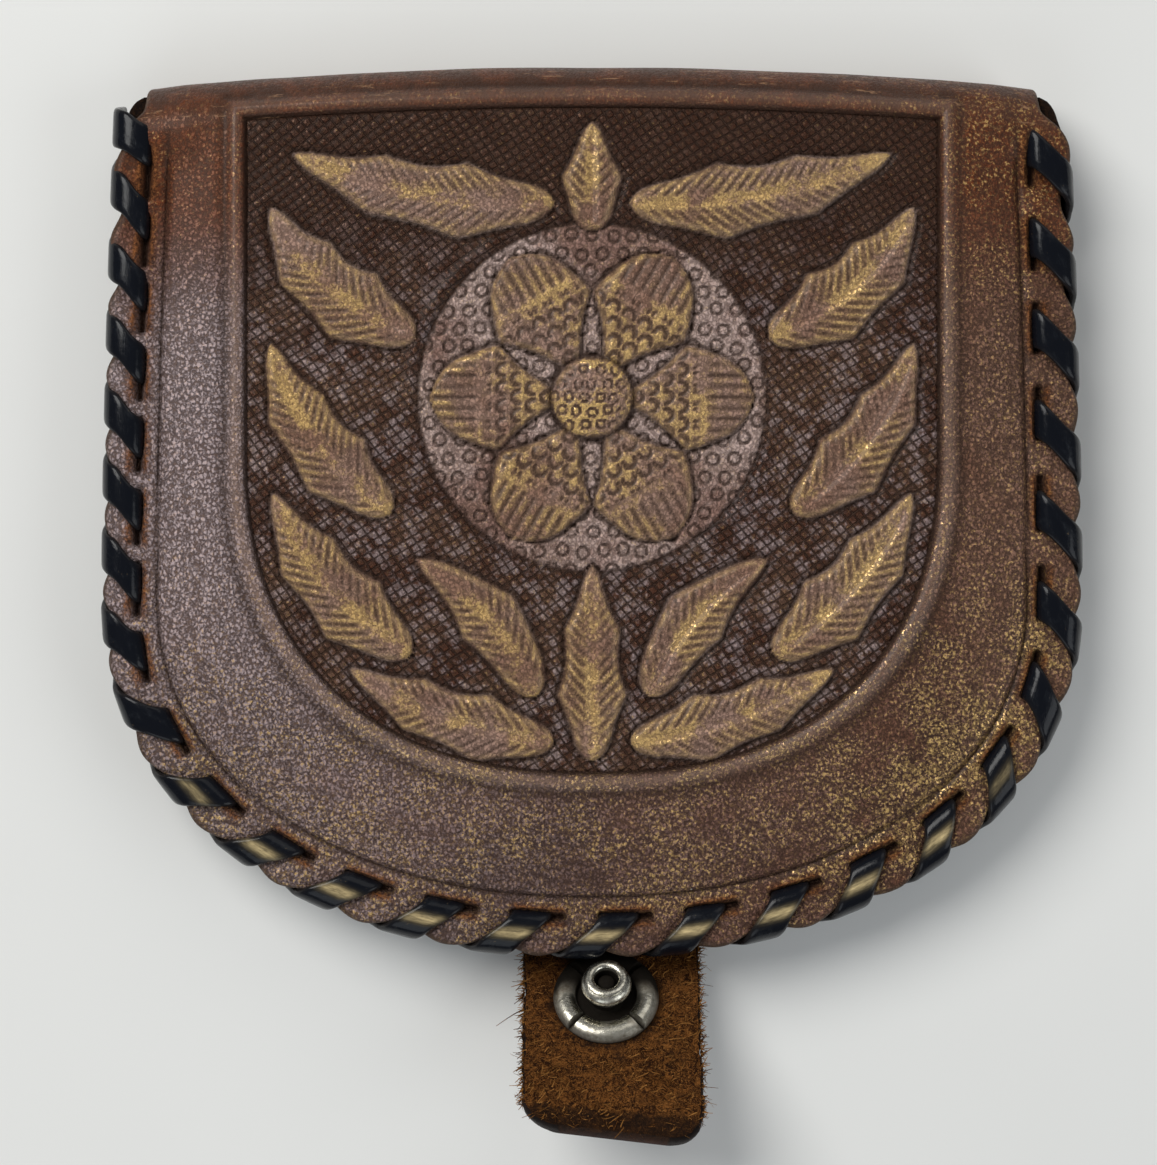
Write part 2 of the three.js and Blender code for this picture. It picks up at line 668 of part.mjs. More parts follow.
// Stud: a round ring flange with four slits, a neck and a hollow knob with a rolled rim.
function stud() {
  const ringMiddle = (studRingBore + studRingRadius) / 2;
  const profile = [
    [studHollowRadius, 0],
    [studRingRadius - snapRound / 2, 0],
    [studRingRadius, snapRound],
    [studRingRadius - snapRound, studRingHeight * 0.85],
    [ringMiddle, studRingHeight],
    [studRingBore + snapRound / 2, studRingHeight * 0.8],
    [studRingBore, snapRound],
    [studNeckRadius, snapRound],
    [studNeckRadius, studNeckTop],
    [studNeckRadius + snapSheet, studNeckTop + snapRound],
    [studKnobRadius - snapRound / 4, studNeckTop + 2 * snapRound],
    [studKnobRadius, studNeckTop + 3 * snapRound],
    [studKnobRadius - snapSheet / 2, studHeight - snapRound],
    [studKnobRadius - 2 * snapSheet, studHeight],
    [studHollowRadius + snapSheet, studHeight - snapSheet],
    [studHollowRadius, studHeight - 2 * snapRound],
    [studHollowRadius, 0],
  ];
  const body = solid(lathe(profile, 22));
  const reach = studRingRadius - studRingBore + snapRound;
  const cuts = [45, 135, 225, 315].map((degrees) => {
    const angle = THREE.MathUtils.degToRad(degrees);
    const middle = studRingBore + reach / 2;
    const box = new THREE.BoxGeometry(reach, studSlitWidth, studRingHeight);
    const cutZ = studRingHeight / 2 + snapRound;
    return solid(placed(box, [middle * Math.cos(angle), middle * Math.sin(angle), cutZ], [0, 0, angle]));
  });
  const cut = without(body, cuts);
  return solid(onTab(geometryOf(cut), hide / 2 + gap));
}

// Cap with a post that passes through the leather into the stud or the socket.
function capWithPost(postLength) {
  const profile = [
    [0, -capThickness],
    [capRadius - capThickness, -capThickness],
    [capRadius, -capThickness / 2],
    [capRadius, 0],
    [barrelRadius, 0],
    [barrelRadius, postLength - barrelRadius / 3],
    [barrelRadius * (2 / 3), postLength],
    [0, postLength],
  ];
  return lathe(profile, 20);
}

const studPost = () => {
  const throughLeather = hide + 2 * gap;
  const intoKnob = studHeight - 2.4 * snapRound;
  return solid(onTab(capWithPost(throughLeather + intoKnob), -hide / 2 - gap));
};

// The socket sits on the outside of the pocket and looks down at the flap.
const socketZ = pocketFlangeBottom - pocketDepth + socketSeatRise;
const grooveRadius = springRadius + springWire + gap / 2;
const grooveTop = socketHeight - snapRound;

function socket() {
  const profile = [
    [barrelRadius + gap, 0],
    [socketRadius, 0],
    [socketRadius, socketHeight * 0.35],
    [socketRadius - 2 * snapRound, socketHeight],
    [socketBore, socketHeight],
    [socketBore, socketHeight - snapSheet],
    [grooveRadius, grooveTop],
    [grooveRadius, snapSheet],
    [barrelRadius + gap, snapSheet],
    [barrelRadius + gap, 0],
  ];
  const ring = lathe(profile, 24).rotateX(Math.PI);
  return solid(ring.translate(studX, socketY, socketZ - gap));
}

function socketSpring() {
  class OpenRing extends THREE.Curve {
    getPoint(t, target = new THREE.Vector3()) {
      const angle = lerp(springOpening, 2 * Math.PI - springOpening, t);
      return target.set(springRadius * Math.cos(angle), springRadius * Math.sin(angle), 0);
    }
  }
  const wire = new THREE.Shape().absarc(0, 0, springWire, 0, 2 * Math.PI, false);
  const settings = { steps: 20, extrudePath: new OpenRing(), curveSegments: 3 };
  const ring = new THREE.ExtrudeGeometry(wire, settings);
  const wireZ = socketZ - gap - (snapSheet + grooveTop) / 2;
  return solid(ring.translate(studX, socketY, wireZ));
}

function socketCap() {
  const piece = capWithPost(hide + 2 * gap + snapSheet / 2);
  return solid(piece.rotateX(Math.PI).translate(studX, socketY, socketZ + hide + gap));
}

add("back_panel", backPanel(), brownLeather);
add("front_panel", frontPanel(), brownLeather);
add("edge_lace", lace(), blackLace);
add("flap_fold", foldStrip(), redLeather);
add("flap", flap(), suede);
add("stud", stud(), nickel);
add("stud_post", studPost(), nickel);
add("socket", socket(), nickel);
add("socket_spring", socketSpring(), springSteel);
add("socket_cap", socketCap(), nickel);

export default group;
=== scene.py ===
"""Looks of a small tooled leather coin purse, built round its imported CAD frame.

The shapes repeat the driving sizes of the part's source, so each piece lies where its CAD
node lies. Lengths are millimetres until a mesh is made, which is in metres.
"""

import math

import bmesh
import bpy
import numpy as np
from bpy.props import FloatProperty, FloatVectorProperty, IntProperty, PointerProperty
from mathutils import Matrix, Vector, noise


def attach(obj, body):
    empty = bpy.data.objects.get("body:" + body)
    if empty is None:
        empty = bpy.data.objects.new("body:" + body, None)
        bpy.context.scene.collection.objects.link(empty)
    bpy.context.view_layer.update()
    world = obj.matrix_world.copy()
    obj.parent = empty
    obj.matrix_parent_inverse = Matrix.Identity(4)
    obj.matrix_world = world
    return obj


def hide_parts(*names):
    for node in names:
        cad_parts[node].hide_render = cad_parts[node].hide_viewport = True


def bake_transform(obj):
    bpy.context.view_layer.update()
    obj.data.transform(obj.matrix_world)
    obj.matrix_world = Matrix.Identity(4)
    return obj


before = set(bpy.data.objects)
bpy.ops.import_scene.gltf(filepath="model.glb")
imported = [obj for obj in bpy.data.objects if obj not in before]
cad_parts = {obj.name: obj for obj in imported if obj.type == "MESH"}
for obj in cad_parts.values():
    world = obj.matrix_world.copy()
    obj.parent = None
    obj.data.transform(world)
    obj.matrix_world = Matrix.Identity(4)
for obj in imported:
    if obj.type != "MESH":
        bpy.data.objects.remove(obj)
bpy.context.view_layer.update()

bl_info = {
    "name": "Tooled leather coin purse",
    "version": (1, 0, 0),
    "blender": (4, 5, 0),
    "location": "View3D > Sidebar > Purse",
    "description": "Builds the leather, lace and snap of a small coin purse",
    "category": "Add Mesh",
}

MM = 0.001

# Hide and fold
HIDE = 1.8
FOLD_Z = 5.6  # height of the fold's middle line, and the fold's outer radius
FOLD_MID_RADIUS = FOLD_Z - HIDE / 2
FOLD_Y = 50.95
FOLD_BOW = 2.2
FOLD_HALF_WIDTH = 47.3
FOLD_END_TURN = math.radians(177)
FOLD_END_Y = FOLD_Y + FOLD_MID_RADIUS * FOLD_END_TURN  # along the hide
FOLD_TOP_Z = 11.05
FOLD_RISE_Y = 46.0  # where the hide begins to rise towards the fold
FOLD_RISE_LENGTH = 5.5
FOLD_DROP = 0.5  # how much lower the fold's ends are than its middle
FOLD_DROP_X = 42.0
FOLD_DROP_LENGTH = 5.3
HIDE_SLICES = 760  # points of the hide's outer edge, round the bottom
FAR_SLICES = 120  # and across its far end, on the flap

# Laced outline
RIM_HALF_WIDTH = 50.8
RIM_LEAN = 1.3
RIM_ARC_Y = -0.3
RIM_ARC_DEPTH = 36.85
RIM_POWER = 2.15
MOUTH_Y = 51.2
CORNER_Y = 48.6  # where the panel's top corners begin
CORNER_LENGTH = 5.2
FLANGE_TOP = 10.0
FLANGE_WIDTH = 4.4
MARGIN_TOP = 10.9
EDGE_ROUND = 0.6
BEVEL_DEPTH = 0.3
CROWN_HEIGHT = 0.45
CROWN_END_Y = 56.55
LACING_END_Y = 49.5  # the stitches' marks fade above this
LACING_FADE = 3.5
SCALLOP_REACH = 2.6  # how far in from the edge the leather bulges between the stitches
PUFF_START = 3.1
PUFF_FADE = 1.5
MARGIN_ZONE = 6.6  # fine rows of the hide's mesh along its outer edge
BEAD_ZONE = 2.9  # and along the field

# Tooled field
FIELD_HALF_WIDTH = 36.6
FIELD_TOP_Y = 51.7
FIELD_ARC_Y = 15.45
FIELD_ARC_DEPTH = 34.1
FIELD_POWER = 2.35
FIELD_SINK = 0.55
FIELD_BOTTOM_Z = 9.2
FIELD_MARGIN = 0.2  # how far the field's mesh reaches past its outline
FIELD_TUCK = 0.35  # how far the field's plate reaches under the bead
BEAD_WIDTH = 1.7
BEAD_HEIGHT = 0.34
HATCH_PITCH = 0.88
HATCH_DEPTH = 0.15
HATCH_WAYS = ((0.8, 0.6), (0.55, -0.83))  # square to the two sets of lines
HATCH_WAVES = ((0.25, 0.21, 0.13), (0.2, -0.11, 0.31))  # how far and how fast the lines waver

# Pocket
POCKET_TOP = 7.9
POCKET_DEPTH = 4.0
POCKET_RAMP = 6.5
POCKET_EAR_Y = 53.1
POCKET_EAR_WIDTH = 1.7
SOCKET_SEAT_RISE = 1.9
SOCKET_Y = -20.2
SEAT_END = 7.2
SEAT_START = 17.2
POCKET_SLICES = 560
POCKET_BORDER = 14.0  # inside this, the rings of the mesh shrink to a line
POCKET_INSETS = (0, 0.1, 0.35, 0.7, 1.3, 2.1, 2.9, 3.6, 4.4, 5.3, 6.5, 8, 9.5, 11, 14, 19, 26, 34, 43)

# Lace
LACE_TOP_Y = 54.2
LACE_TOP_Z = 10.5
LACE_BOTTOM_Z = 5.4
LACE_OUTSIDE = 0.6
LACE_TURN = 0.6  # how tightly the lace turns at the slits
LACE_SLANT = 1.31  # width along the edge, as a share of the width square across
FIRST_STITCH = 6.6
LAST_STITCH = 6.54
WIDE_STITCHES = 19
TIGHT_STITCHES = 8
TIGHT_SHARE = 0.802
LAST_SHARE = 0.55  # the last stitch is short, so its end stays under the edge
SLIT_INSET = 3.4
TIGHT_INSET = 2.8
STRAND_START = 0.06  # where a strand leaves its slit, as a share of a stitch
STRAND_SLANT = 0.3
SLIT_SHIFT = 0.8
SLIT_HALF_WIDTH = 0.45
SLIT_HALF_LENGTH = 2.7
SLIT_DEPTH = 1.35
LACE_SIDES = 18

# Flap and tab
FLAP_START_Y = FOLD_Y + FOLD_MID_RADIUS * math.sin(math.pi - FOLD_END_TURN)
FLAP_INSET = 4.6
FLAP_HALF_WIDTH = FOLD_HALF_WIDTH - 1
FLAP_SHOULDER_Y = -27.0
SHOULDER_LENGTH = 6.0
SHOULDER_FLARE = 6.0
TAB_HALF_WIDTH = 9.35
TAB_SHIFT = 2.1
TAB_BEND_Y = -34.6
TAB_BEND_RADIUS = 6.0
TAB_TILT = math.radians(40)
TAB_LENGTH = 22.1
TAB_END_SLANT = 0.13
TAB_CORNER = 3.4
FLAP_ROWS = (64, 96, 16)  # of its mesh: on the flap, on the tab and at the tab's corners
FLAP_TOP_POINTS = 83
FLAP_UNDER_POINTS = 31
FIBRE_RADIUS = 0.085
FIBRE_LENGTHS = (0.3, 0.85)
LONG_FIBRE_EVERY = 97
LONG_FIBRE = 2.6  # how many times as long such a fibre is

# Snap
STUD_X = 1.5
STUD_ALONG_TAB = 6.4
STUD_RING_RADIUS = 5.6
STUD_RING_BORE = 3.1
STUD_RING_HEIGHT = 1.35
STUD_NECK_RADIUS = 1.75
STUD_KNOB_RADIUS = 2.65
STUD_HEIGHT = 4.3
STUD_HOLLOW_RADIUS = 1.25
POST_RADIUS = 0.9
CAP_RADIUS = 5.2
CAP_THICKNESS = 0.8
GAP = 0.3
SOCKET_RADIUS = 5.6
SOCKET_HEIGHT = 1.6
SOCKET_BORE = 2.95
SPRING_RADIUS = 3.55
SPRING_WIRE = 0.22
SOCKET_Z = 3.7

# Camera, straight above
CAMERA_X = -1.43
CAMERA_Y = 1.55
CAMERA_Z = 310.0
CAMERA_LENS = 88.04
CAMERA_SENSOR = 36


def smooth(t):
    """The usual soft step from 0 to 1, for numbers or arrays."""
    t = np.clip(t, 0, 1)
    return t * t * (3 - 2 * t)


def lerp(a, b, t):
    """Part of the way from one value to another."""
    return a + (b - a) * t


def bell(t):
    """1 at 0, falling away softly on both sides."""
    return np.exp(-(t * t))


# The hide's outline


def leaning_side(y):
    """Half the width of the laced outline, whose sides lean in a little towards the mouth."""
    up = np.clip((y - RIM_ARC_Y) / (MOUTH_Y - RIM_ARC_Y), 0, None)
    return RIM_HALF_WIDTH - RIM_LEAN * up**1.6


def half_width(y):
    """Half the width of the hide at a distance up the hide, from the round bottom to the flap."""
    at_fold = lerp(FOLD_HALF_WIDTH, FLAP_HALF_WIDTH, smooth((y - 58) / 7))
    return lerp(leaning_side(y), at_fold, smooth((y - CORNER_Y) / CORNER_LENGTH) ** 1.5)


def round_bottom(half, depth, power, middle_y, count=900):
    """Points of the round bottom of a U, from its right side to its left."""
    angle = np.linspace(0, math.pi, count)
    cosine, sine = np.cos(angle), np.sin(angle)
    x = half * np.sign(cosine) * np.abs(cosine) ** (2 / power)
    y = middle_y - depth * np.clip(sine, 0, 1) ** (2 / power)
    return np.column_stack([x, y])


def lengths_along(points):
    """Distance of each point along a line of points."""
    steps = np.linalg.norm(np.diff(points, axis=0), axis=1)
    return np.concatenate([[0], np.cumsum(steps)])


def at_lengths(points, lengths, wanted):
    """Points of a flat line at the wanted distances along it."""
    return np.column_stack([np.interp(wanted, lengths, points[:, k]) for k in range(2)])


def u_curve(side_x, top_y, middle_y, bottom):
    """A U from the top of its right side round the bottom to the top of its left side."""
    y = np.linspace(top_y, middle_y, 400)
    right = np.column_stack([side_x(y), y])
    left = right[::-1] * [-1, 1]
    return np.concatenate([right[:-1], bottom, left[1:]])


class Rim:
    """The leather edge of both panels, which distances along the lacing are measured on."""

    def __init__(self):
        bottom = round_bottom(RIM_HALF_WIDTH, RIM_ARC_DEPTH, RIM_POWER, RIM_ARC_Y)
        points = u_curve(leaning_side, LACE_TOP_Y, RIM_ARC_Y, bottom)
        lengths = lengths_along(points)
        self.length = lengths[-1]
        self.along = np.linspace(0, self.length, 1000)
        self.points = at_lengths(points, lengths, self.along)
        tangents = np.gradient(self.points, axis=0)
        self.tangents = tangents / np.linalg.norm(tangents, axis=1)[:, None]
        self.inward = np.column_stack([self.tangents[:, 1], -self.tangents[:, 0]])

    def nearest(self, x, y):
        """Distance along the rim and inside it of each point."""
        places = np.column_stack([x, y])
        found = np.empty(len(places), int)
        for start in range(0, len(places), 4000):
            part = places[start : start + 4000]
            apart = part[:, None, :] - self.points[None, :, :]
            found[start : start + 4000] = np.argmin((apart**2).sum(2), axis=1)
        offset = places - self.points[found]
        along = self.along[found] + (offset * self.tangents[found]).sum(1)
        return along, (offset * self.inward[found]).sum(1)

    def place(self, along, inset):
        """The point at a distance along the rim and inside it."""
        columns = [np.interp(along, self.along, self.points[:, k]) for k in range(2)]
        inward = [np.interp(along, self.along, self.inward[:, k]) for k in range(2)]
        return columns[0] + inward[0] * inset, columns[1] + inward[1] * inset


RIM = Rim()
STITCHES = WIDE_STITCHES + TIGHT_STITCHES
STITCH_RUN = RIM.length - FIRST_STITCH - LAST_STITCH
PITCH = STITCH_RUN / (WIDE_STITCHES + TIGHT_SHARE * (TIGHT_STITCHES - 1))
STITCH_AT = np.array(
    [
        FIRST_STITCH
        + PITCH * (min(k, WIDE_STITCHES) + TIGHT_SHARE * max(0, k - WIDE_STITCHES))
        for k in range(STITCHES + 1)
    ]
)
PITCHES = np.diff(STITCH_AT)
INSETS = np.where(np.arange(STITCHES + 1) < WIDE_STITCHES, SLIT_INSET, TIGHT_INSET)


def stitch_marks(along, inset):
    """The wave that the stitches press into the leather, 1 under the lace and 0 between, and
    the slits and their lips."""
    insets, pitches = INSETS[:-1, None], PITCHES[:, None]
    over = np.clip((insets - 0.7 - inset) / (insets - 1.0), 0, 1.2)
    share = STRAND_START + STRAND_SLANT * over
    offsets = along - (STITCH_AT[:-1, None] + share * pitches)
    nearest = np.argmin(np.abs(offsets), axis=0)
    column = np.arange(len(along))
    offset = offsets[nearest, column]
    wave = 0.5 + 0.5 * np.cos(2 * math.pi * np.clip(offset / PITCHES[nearest], -0.5, 0.5))
    from_slit = along - STITCH_AT[:-1, None] + SLIT_SHIFT
    slit_at = np.argmin(np.abs(from_slit), axis=0)
    run = np.abs(from_slit[slit_at, column])
    across = (inset - INSETS[slit_at]) / SLIT_HALF_WIDTH
    slit = bell(across) * (1 - smooth((run - SLIT_HALF_LENGTH) / 0.6))
    lip = bell((np.abs(across) - 1.7) / 0.75) * (1 - smooth((run - 2.2) / 1.3))
    return wave, slit, lip


def puffed(inset):
    """1 between the edge and the slits, where the lace squeezes the leather, and 0 inside."""
    return 1 - smooth((inset - PUFF_START) / PUFF_FADE)


def scalloped(distance):
    """How much of the edge's bulging between the stitches is left at a distance from it."""
    return 1 - smooth(distance / SCALLOP_REACH)


def bow(x):
    """How far the fold's ends lie behind its middle."""
    return FOLD_BOW * np.minimum(1, (x / FOLD_HALF_WIDTH) ** 2)


def bend(x, y, z):
    """Bends points of the flat hide over the bowed fold."""
    turn = np.maximum(0, y - FOLD_Y) / FOLD_MID_RADIUS
    reach = z - FOLD_Z
    share = smooth((y - FIELD_ARC_Y) / (FOLD_Y - FIELD_ARC_Y))
    share = share * (1 - smooth(turn / (math.pi / 2) - 1))
    bent_y = np.minimum(y, FOLD_Y) + reach * np.sin(turn) - bow(x) * share
    return np.column_stack([x, bent_y, FOLD_Z + reach * np.cos(turn)])


def field_depth(x, y):
    """How far a point lies inside the tooled field."""
    straight = np.minimum(FIELD_HALF_WIDTH - np.abs(x), FIELD_TOP_Y - y)
    across = np.abs(x / FIELD_HALF_WIDTH) ** FIELD_POWER
    down = np.abs((FIELD_ARC_Y - y) / FIELD_ARC_DEPTH) ** FIELD_POWER
    curved = (1 - (across + down) ** (1 / FIELD_POWER)) * FIELD_ARC_DEPTH
    return np.where(y >= FIELD_ARC_Y, straight, curved)


def crown(x, y):
    """How far the filled panel bulges above its flat height."""
    across = np.clip(1 - (x / RIM_HALF_WIDTH) ** 2, 0, 1)
    along = np.clip(1 - ((y - FIELD_ARC_Y) / (CROWN_END_Y - FIELD_ARC_Y)) ** 2, 0, 1)
    return CROWN_HEIGHT * across * along


def fold_share(y):
    """0 on the panel and 1 where the hide has risen to the fold."""
    return smooth((y - FOLD_RISE_Y) / FOLD_RISE_LENGTH)


def lacing_share(y):
    """1 where the edge is laced and 0 beyond the lace."""
    return 1 - smooth((y - LACING_END_Y) / LACING_FADE)


def wobble(points, size, seed):
    """Soft noise between about -1 and 1 at each point, with bumps of that size."""
    shift = Vector((seed * 17.3, seed * 5.1, seed * 9.7))
    scaled = np.asarray(points) / size
    if scaled.shape[1] == 2:
        scaled = np.column_stack([scaled, np.zeros(len(scaled))])
    return np.array([noise.noise(Vector(p) + shift) for p in scaled.tolist()])


# Meshes


def grid_mesh(name, columns, rows, place):
    """A mesh of a grid of cells. place(column, row) takes their numbers and gives the points in
    millimetres and a dictionary of values to keep at each point."""
    bm = bmesh.new()
    bmesh.ops.create_grid(bm, x_segments=columns, y_segments=rows, size=0.5)
    mesh = bpy.data.meshes.new(name)
    bm.to_mesh(mesh)
    bm.free()
    flat = np.empty(len(mesh.vertices) * 3, np.float32)
    mesh.vertices.foreach_get("co", flat)
    flat = flat.reshape(-1, 3).astype(float)
    column = np.rint((flat[:, 0] + 0.5) * columns).astype(int)
    row = np.rint((flat[:, 1] + 0.5) * rows).astype(int)
    points, kept = place(column, row)
    mesh.vertices.foreach_set("co", (points * MM).astype(np.float32).ravel())
    keep_values(mesh, kept)
    return mesh


def keep_values(mesh, kept):
    """Keeps numbers and places at the points of the mesh, for its material."""
    for name, values in kept.items():
        values = np.asarray(values, np.float32)
        if values.ndim == 2:
            layer = mesh.attributes.new(name, "FLOAT_VECTOR", "POINT")
            layer.data.foreach_set("vector", values.ravel())
        else:
            layer = mesh.attributes.new(name, "FLOAT", "POINT")
            layer.data.foreach_set("value", values)


def closed_piece(name, mesh, material, sharp=55.0):
    """Joins the mesh's seams, closes its ends, turns its faces outwards and makes the object."""
    bm = bmesh.new()
    bm.from_mesh(mesh)
    bmesh.ops.remove_doubles(bm, verts=bm.verts, dist=0.004 * MM)
    bmesh.ops.dissolve_degenerate(bm, edges=bm.edges, dist=0.002 * MM)
    ends = [edge for edge in bm.edges if edge.is_boundary]
    bmesh.ops.holes_fill(bm, edges=ends, sides=0)
    bmesh.ops.recalc_face_normals(bm, faces=bm.faces)
    limit = math.radians(sharp)
    for face in bm.faces:
        face.smooth = True
    for edge in bm.edges:
        edge.smooth = not edge.is_manifold or edge.calc_face_angle(0) < limit
    bm.to_mesh(mesh)
    bm.free()
    piece = bpy.data.objects.new(name, mesh)
    bpy.context.scene.collection.objects.link(piece)
    piece.data.materials.append(material)
    return piece


def turned_piece(name, profile, steps, material, shape=None):
    """A profile of radii and heights spun round the Z axis. shape moves its points, and its last
    column is kept as the value tarnish_and_shade, where tarnish gathers and shade is painted."""
    bm = bmesh.new()
    corners = [bm.verts.new((radius, 0, z)) for radius, z in profile]
    edges = [bm.edges.new(pair) for pair in zip(corners, corners[1:])]
    bmesh.ops.spin(
        bm,
        geom=corners + edges,
        cent=(0, 0, 0),
        axis=(0, 0, 1),
        angle=2 * math.pi,
        steps=steps,
        use_merge=True,
    )
    bmesh.ops.remove_doubles(bm, verts=bm.verts, dist=1e-4)
    mesh = bpy.data.meshes.new(name)
    bm.to_mesh(mesh)
    bm.free()
    points = np.array([vert.co for vert in mesh.vertices], float)
    tarnish_and_shade = np.zeros(len(points))
    if shape:
        points, tarnish_and_shade = shape(points)
    mesh.vertices.foreach_set("co", (points * MM).astype(np.float32).ravel())
    keep_values(mesh, {"tarnish_and_shade": tarnish_and_shade})
    return closed_piece(name, mesh, material, 40)


def arc(centre, radii, start, end, count):
    """Points of part of an ellipse, from one angle to another, in degrees."""
    angles = np.radians(np.linspace(start, end, count))
    return [
        (centre[0] + radii[0] * math.cos(a), centre[1] + radii[1] * math.sin(a))
        for a in angles
    ]


# Material nodes


class Value:
    """A socket of a material. Sums and products of it add Math nodes."""

    def __init__(self, paint, socket):
        self.paint = paint
        self.socket = socket

    def __add__(self, other):
        return self.paint.math("ADD", self, other)

    __radd__ = __add__

    def __sub__(self, other):
        return self.paint.math("SUBTRACT", self, other)

    def __rsub__(self, other):
        return self.paint.math("SUBTRACT", other, self)

    def __mul__(self, other):
        return self.paint.math("MULTIPLY", self, other)

    __rmul__ = __mul__

    def clipped(self):
        """The value kept between 0 and 1."""
        return self.paint.math("MINIMUM", self.paint.math("MAXIMUM", self, 0.0), 1.0)


class Paint:
    """One procedural material and the nodes that make it."""

    def __init__(self, name, **constants):
        self.material = bpy.data.materials.new(name)
        self.material.use_nodes = True
        self.tree = self.material.node_tree
        self.shader = self.tree.nodes["Principled BSDF"]
        for socket, value in constants.items():
            self.shader.inputs[socket.replace("_", " ")].default_value = value

    def node(self, kind, settings, inputs, output=0):
        """Adds a node: its settings first, then the values or links of its sockets."""
        made = self.tree.nodes.new(kind)
        for name, value in settings.items():
            setattr(made, name, value)
        for key, value in inputs.items():
            self.feed(made.inputs[key], value)
        return Value(self, made.outputs[output])

    def feed(self, socket, value):
        """Links a value to a socket or sets its number or colour."""
        if isinstance(value, Value):
            self.tree.links.new(value.socket, socket)
        elif isinstance(value, tuple) and len(value) == 3 and socket.type == "RGBA":
            socket.default_value = (*value, 1)
        else:
            socket.default_value = value

    def math(self, operation, *values):
        """A Math node of sockets and numbers."""
        return self.node("ShaderNodeMath", {"operation": operation}, dict(enumerate(values)))

    def value(self, name):
        """A number kept at each point of the mesh."""
        return self.node("ShaderNodeAttribute", {"attribute_name": name}, {}, "Fac")

    def place(self, name):
        """A place kept at each point of the mesh."""
        return self.node("ShaderNodeAttribute", {"attribute_name": name}, {}, "Vector")

    def object_place(self):
        """Object coordinates in millimetres."""
        place = self.node("ShaderNodeTexCoord", {}, {}, "Object")
        return self.stretch(place, (1 / MM,) * 3)

    def stretch(self, place, factors):
        """The place with each of its axes multiplied."""
        inputs = {0: place, 1: factors}
        return self.node("ShaderNodeVectorMath", {"operation": "MULTIPLY"}, inputs)

    def noise(self, place, size, detail=2.0, rough=0.5, bend=0.0):
        """Soft noise from 0 to 1, with grains of a size in millimetres."""
        inputs = {
            "Vector": place,
            "Scale": 1 / size,
            "Detail": detail,
            "Roughness": rough,
            "Distortion": bend,
        }
        return self.node("ShaderNodeTexNoise", {}, inputs, 0)

    def cells(self, place, size, feature="F1"):
        """Distance from the middle or the edge of loose cells of a size in millimetres."""
        inputs = {"Vector": place, "Scale": 1 / size}
        return self.node("ShaderNodeTexVoronoi", {"feature": feature}, inputs, "Distance")

    def between(self, value, low, high):
        """0 below low and 1 above high, softly."""
        inputs = {"Value": value, "From Min": low, "From Max": high}
        settings = {"interpolation_type": "SMOOTHSTEP"}
        return self.node("ShaderNodeMapRange", settings, inputs)

    def spot(self, place, centre, radius):
        """1 near a point and 0 beyond a radius of it."""
        inputs = {0: place, 1: (*centre, 0)}
        apart = self.node("ShaderNodeVectorMath", {"operation": "DISTANCE"}, inputs, "Value")
        return self.between(apart, radius, radius * 0.2)

    def mix(self, share, first, second):
        """The first colour turned to the second by a share."""
        settings = {"data_type": "RGBA"}
        return self.node("ShaderNodeMix", settings, {0: share, 6: first, 7: second}, 2)

    def parts(self, place):
        """The X, Y and Z values of a place."""
        split = self.node("ShaderNodeSeparateXYZ", {}, {0: place}, 0)
        outputs = split.socket.node.outputs
        return [Value(self, outputs[k]) for k in range(3)]

    def bump(self, height):
        """The normal of a surface with these heights, in millimetres."""
        inputs = {"Height": height, "Strength": 1.0, "Distance": MM}
        return self.node("ShaderNodeBump", {}, inputs)

    def finish(self, **sockets):
        """Links the shader's sockets and gives the material."""
        for name, value in sockets.items():
            self.feed(self.shader.inputs[name.replace("_", " ")], value)
        return self.material


# Leather

WAX = {
    "Specular_IOR_Level": 0.5,
    "Specular_Tint": (1.0, 0.62, 0.44, 1),
    "Coat_Roughness": 0.3,
}
PALER_RIGHT_SIDE = (0.27, 0.15, 0.105)
SMUDGE = (0.03, 0.033, 0.042)
GRAIN_HIGHLIGHT = (0.36, 0.19, 0.095)
FOLD_SHADE = (0.034, 0.011, 0.0055)
TORN_DARK = (0.05, 0.016, 0.007)
TORN_LIGHT = (0.36, 0.13, 0.04)
CUT_EDGE = (0.045, 0.028, 0.017)
BEAD_HIGHLIGHT = (0.4, 0.27, 0.21)
FLECK = (0.6, 0.58, 0.52)
SCUFF = (0.34, 0.19, 0.1)
SMUDGES = [  # place, radius, strength
    ((-41.0, 39.5), 5.5, 1.0),
    ((-26.0, -15.8), 7.5, 1.0),
    ((30.0, -8.5), 5.0, 0.7),
    ((-45.0, 2.0), 4.0, 0.5),
]
SCRATCHES = [((-5.1, 52.4), 1.0), ((-2.1, 54.2), 1.3)]  # on the fold, squeezed lengthwise


def pebbled(paint, place):
    """1 on the tops of the leather's fine pebbles and 0 between them."""
    bent = paint.stretch(place, (1.0, 0.78, 1.0))
    apart = paint.cells(bent, 0.42, "DISTANCE_TO_EDGE")
    creased = paint.noise(place, 0.45, 4.0, 0.72)
    return paint.between(apart + (creased - 0.5) * 1.6, -0.12, 0.34)


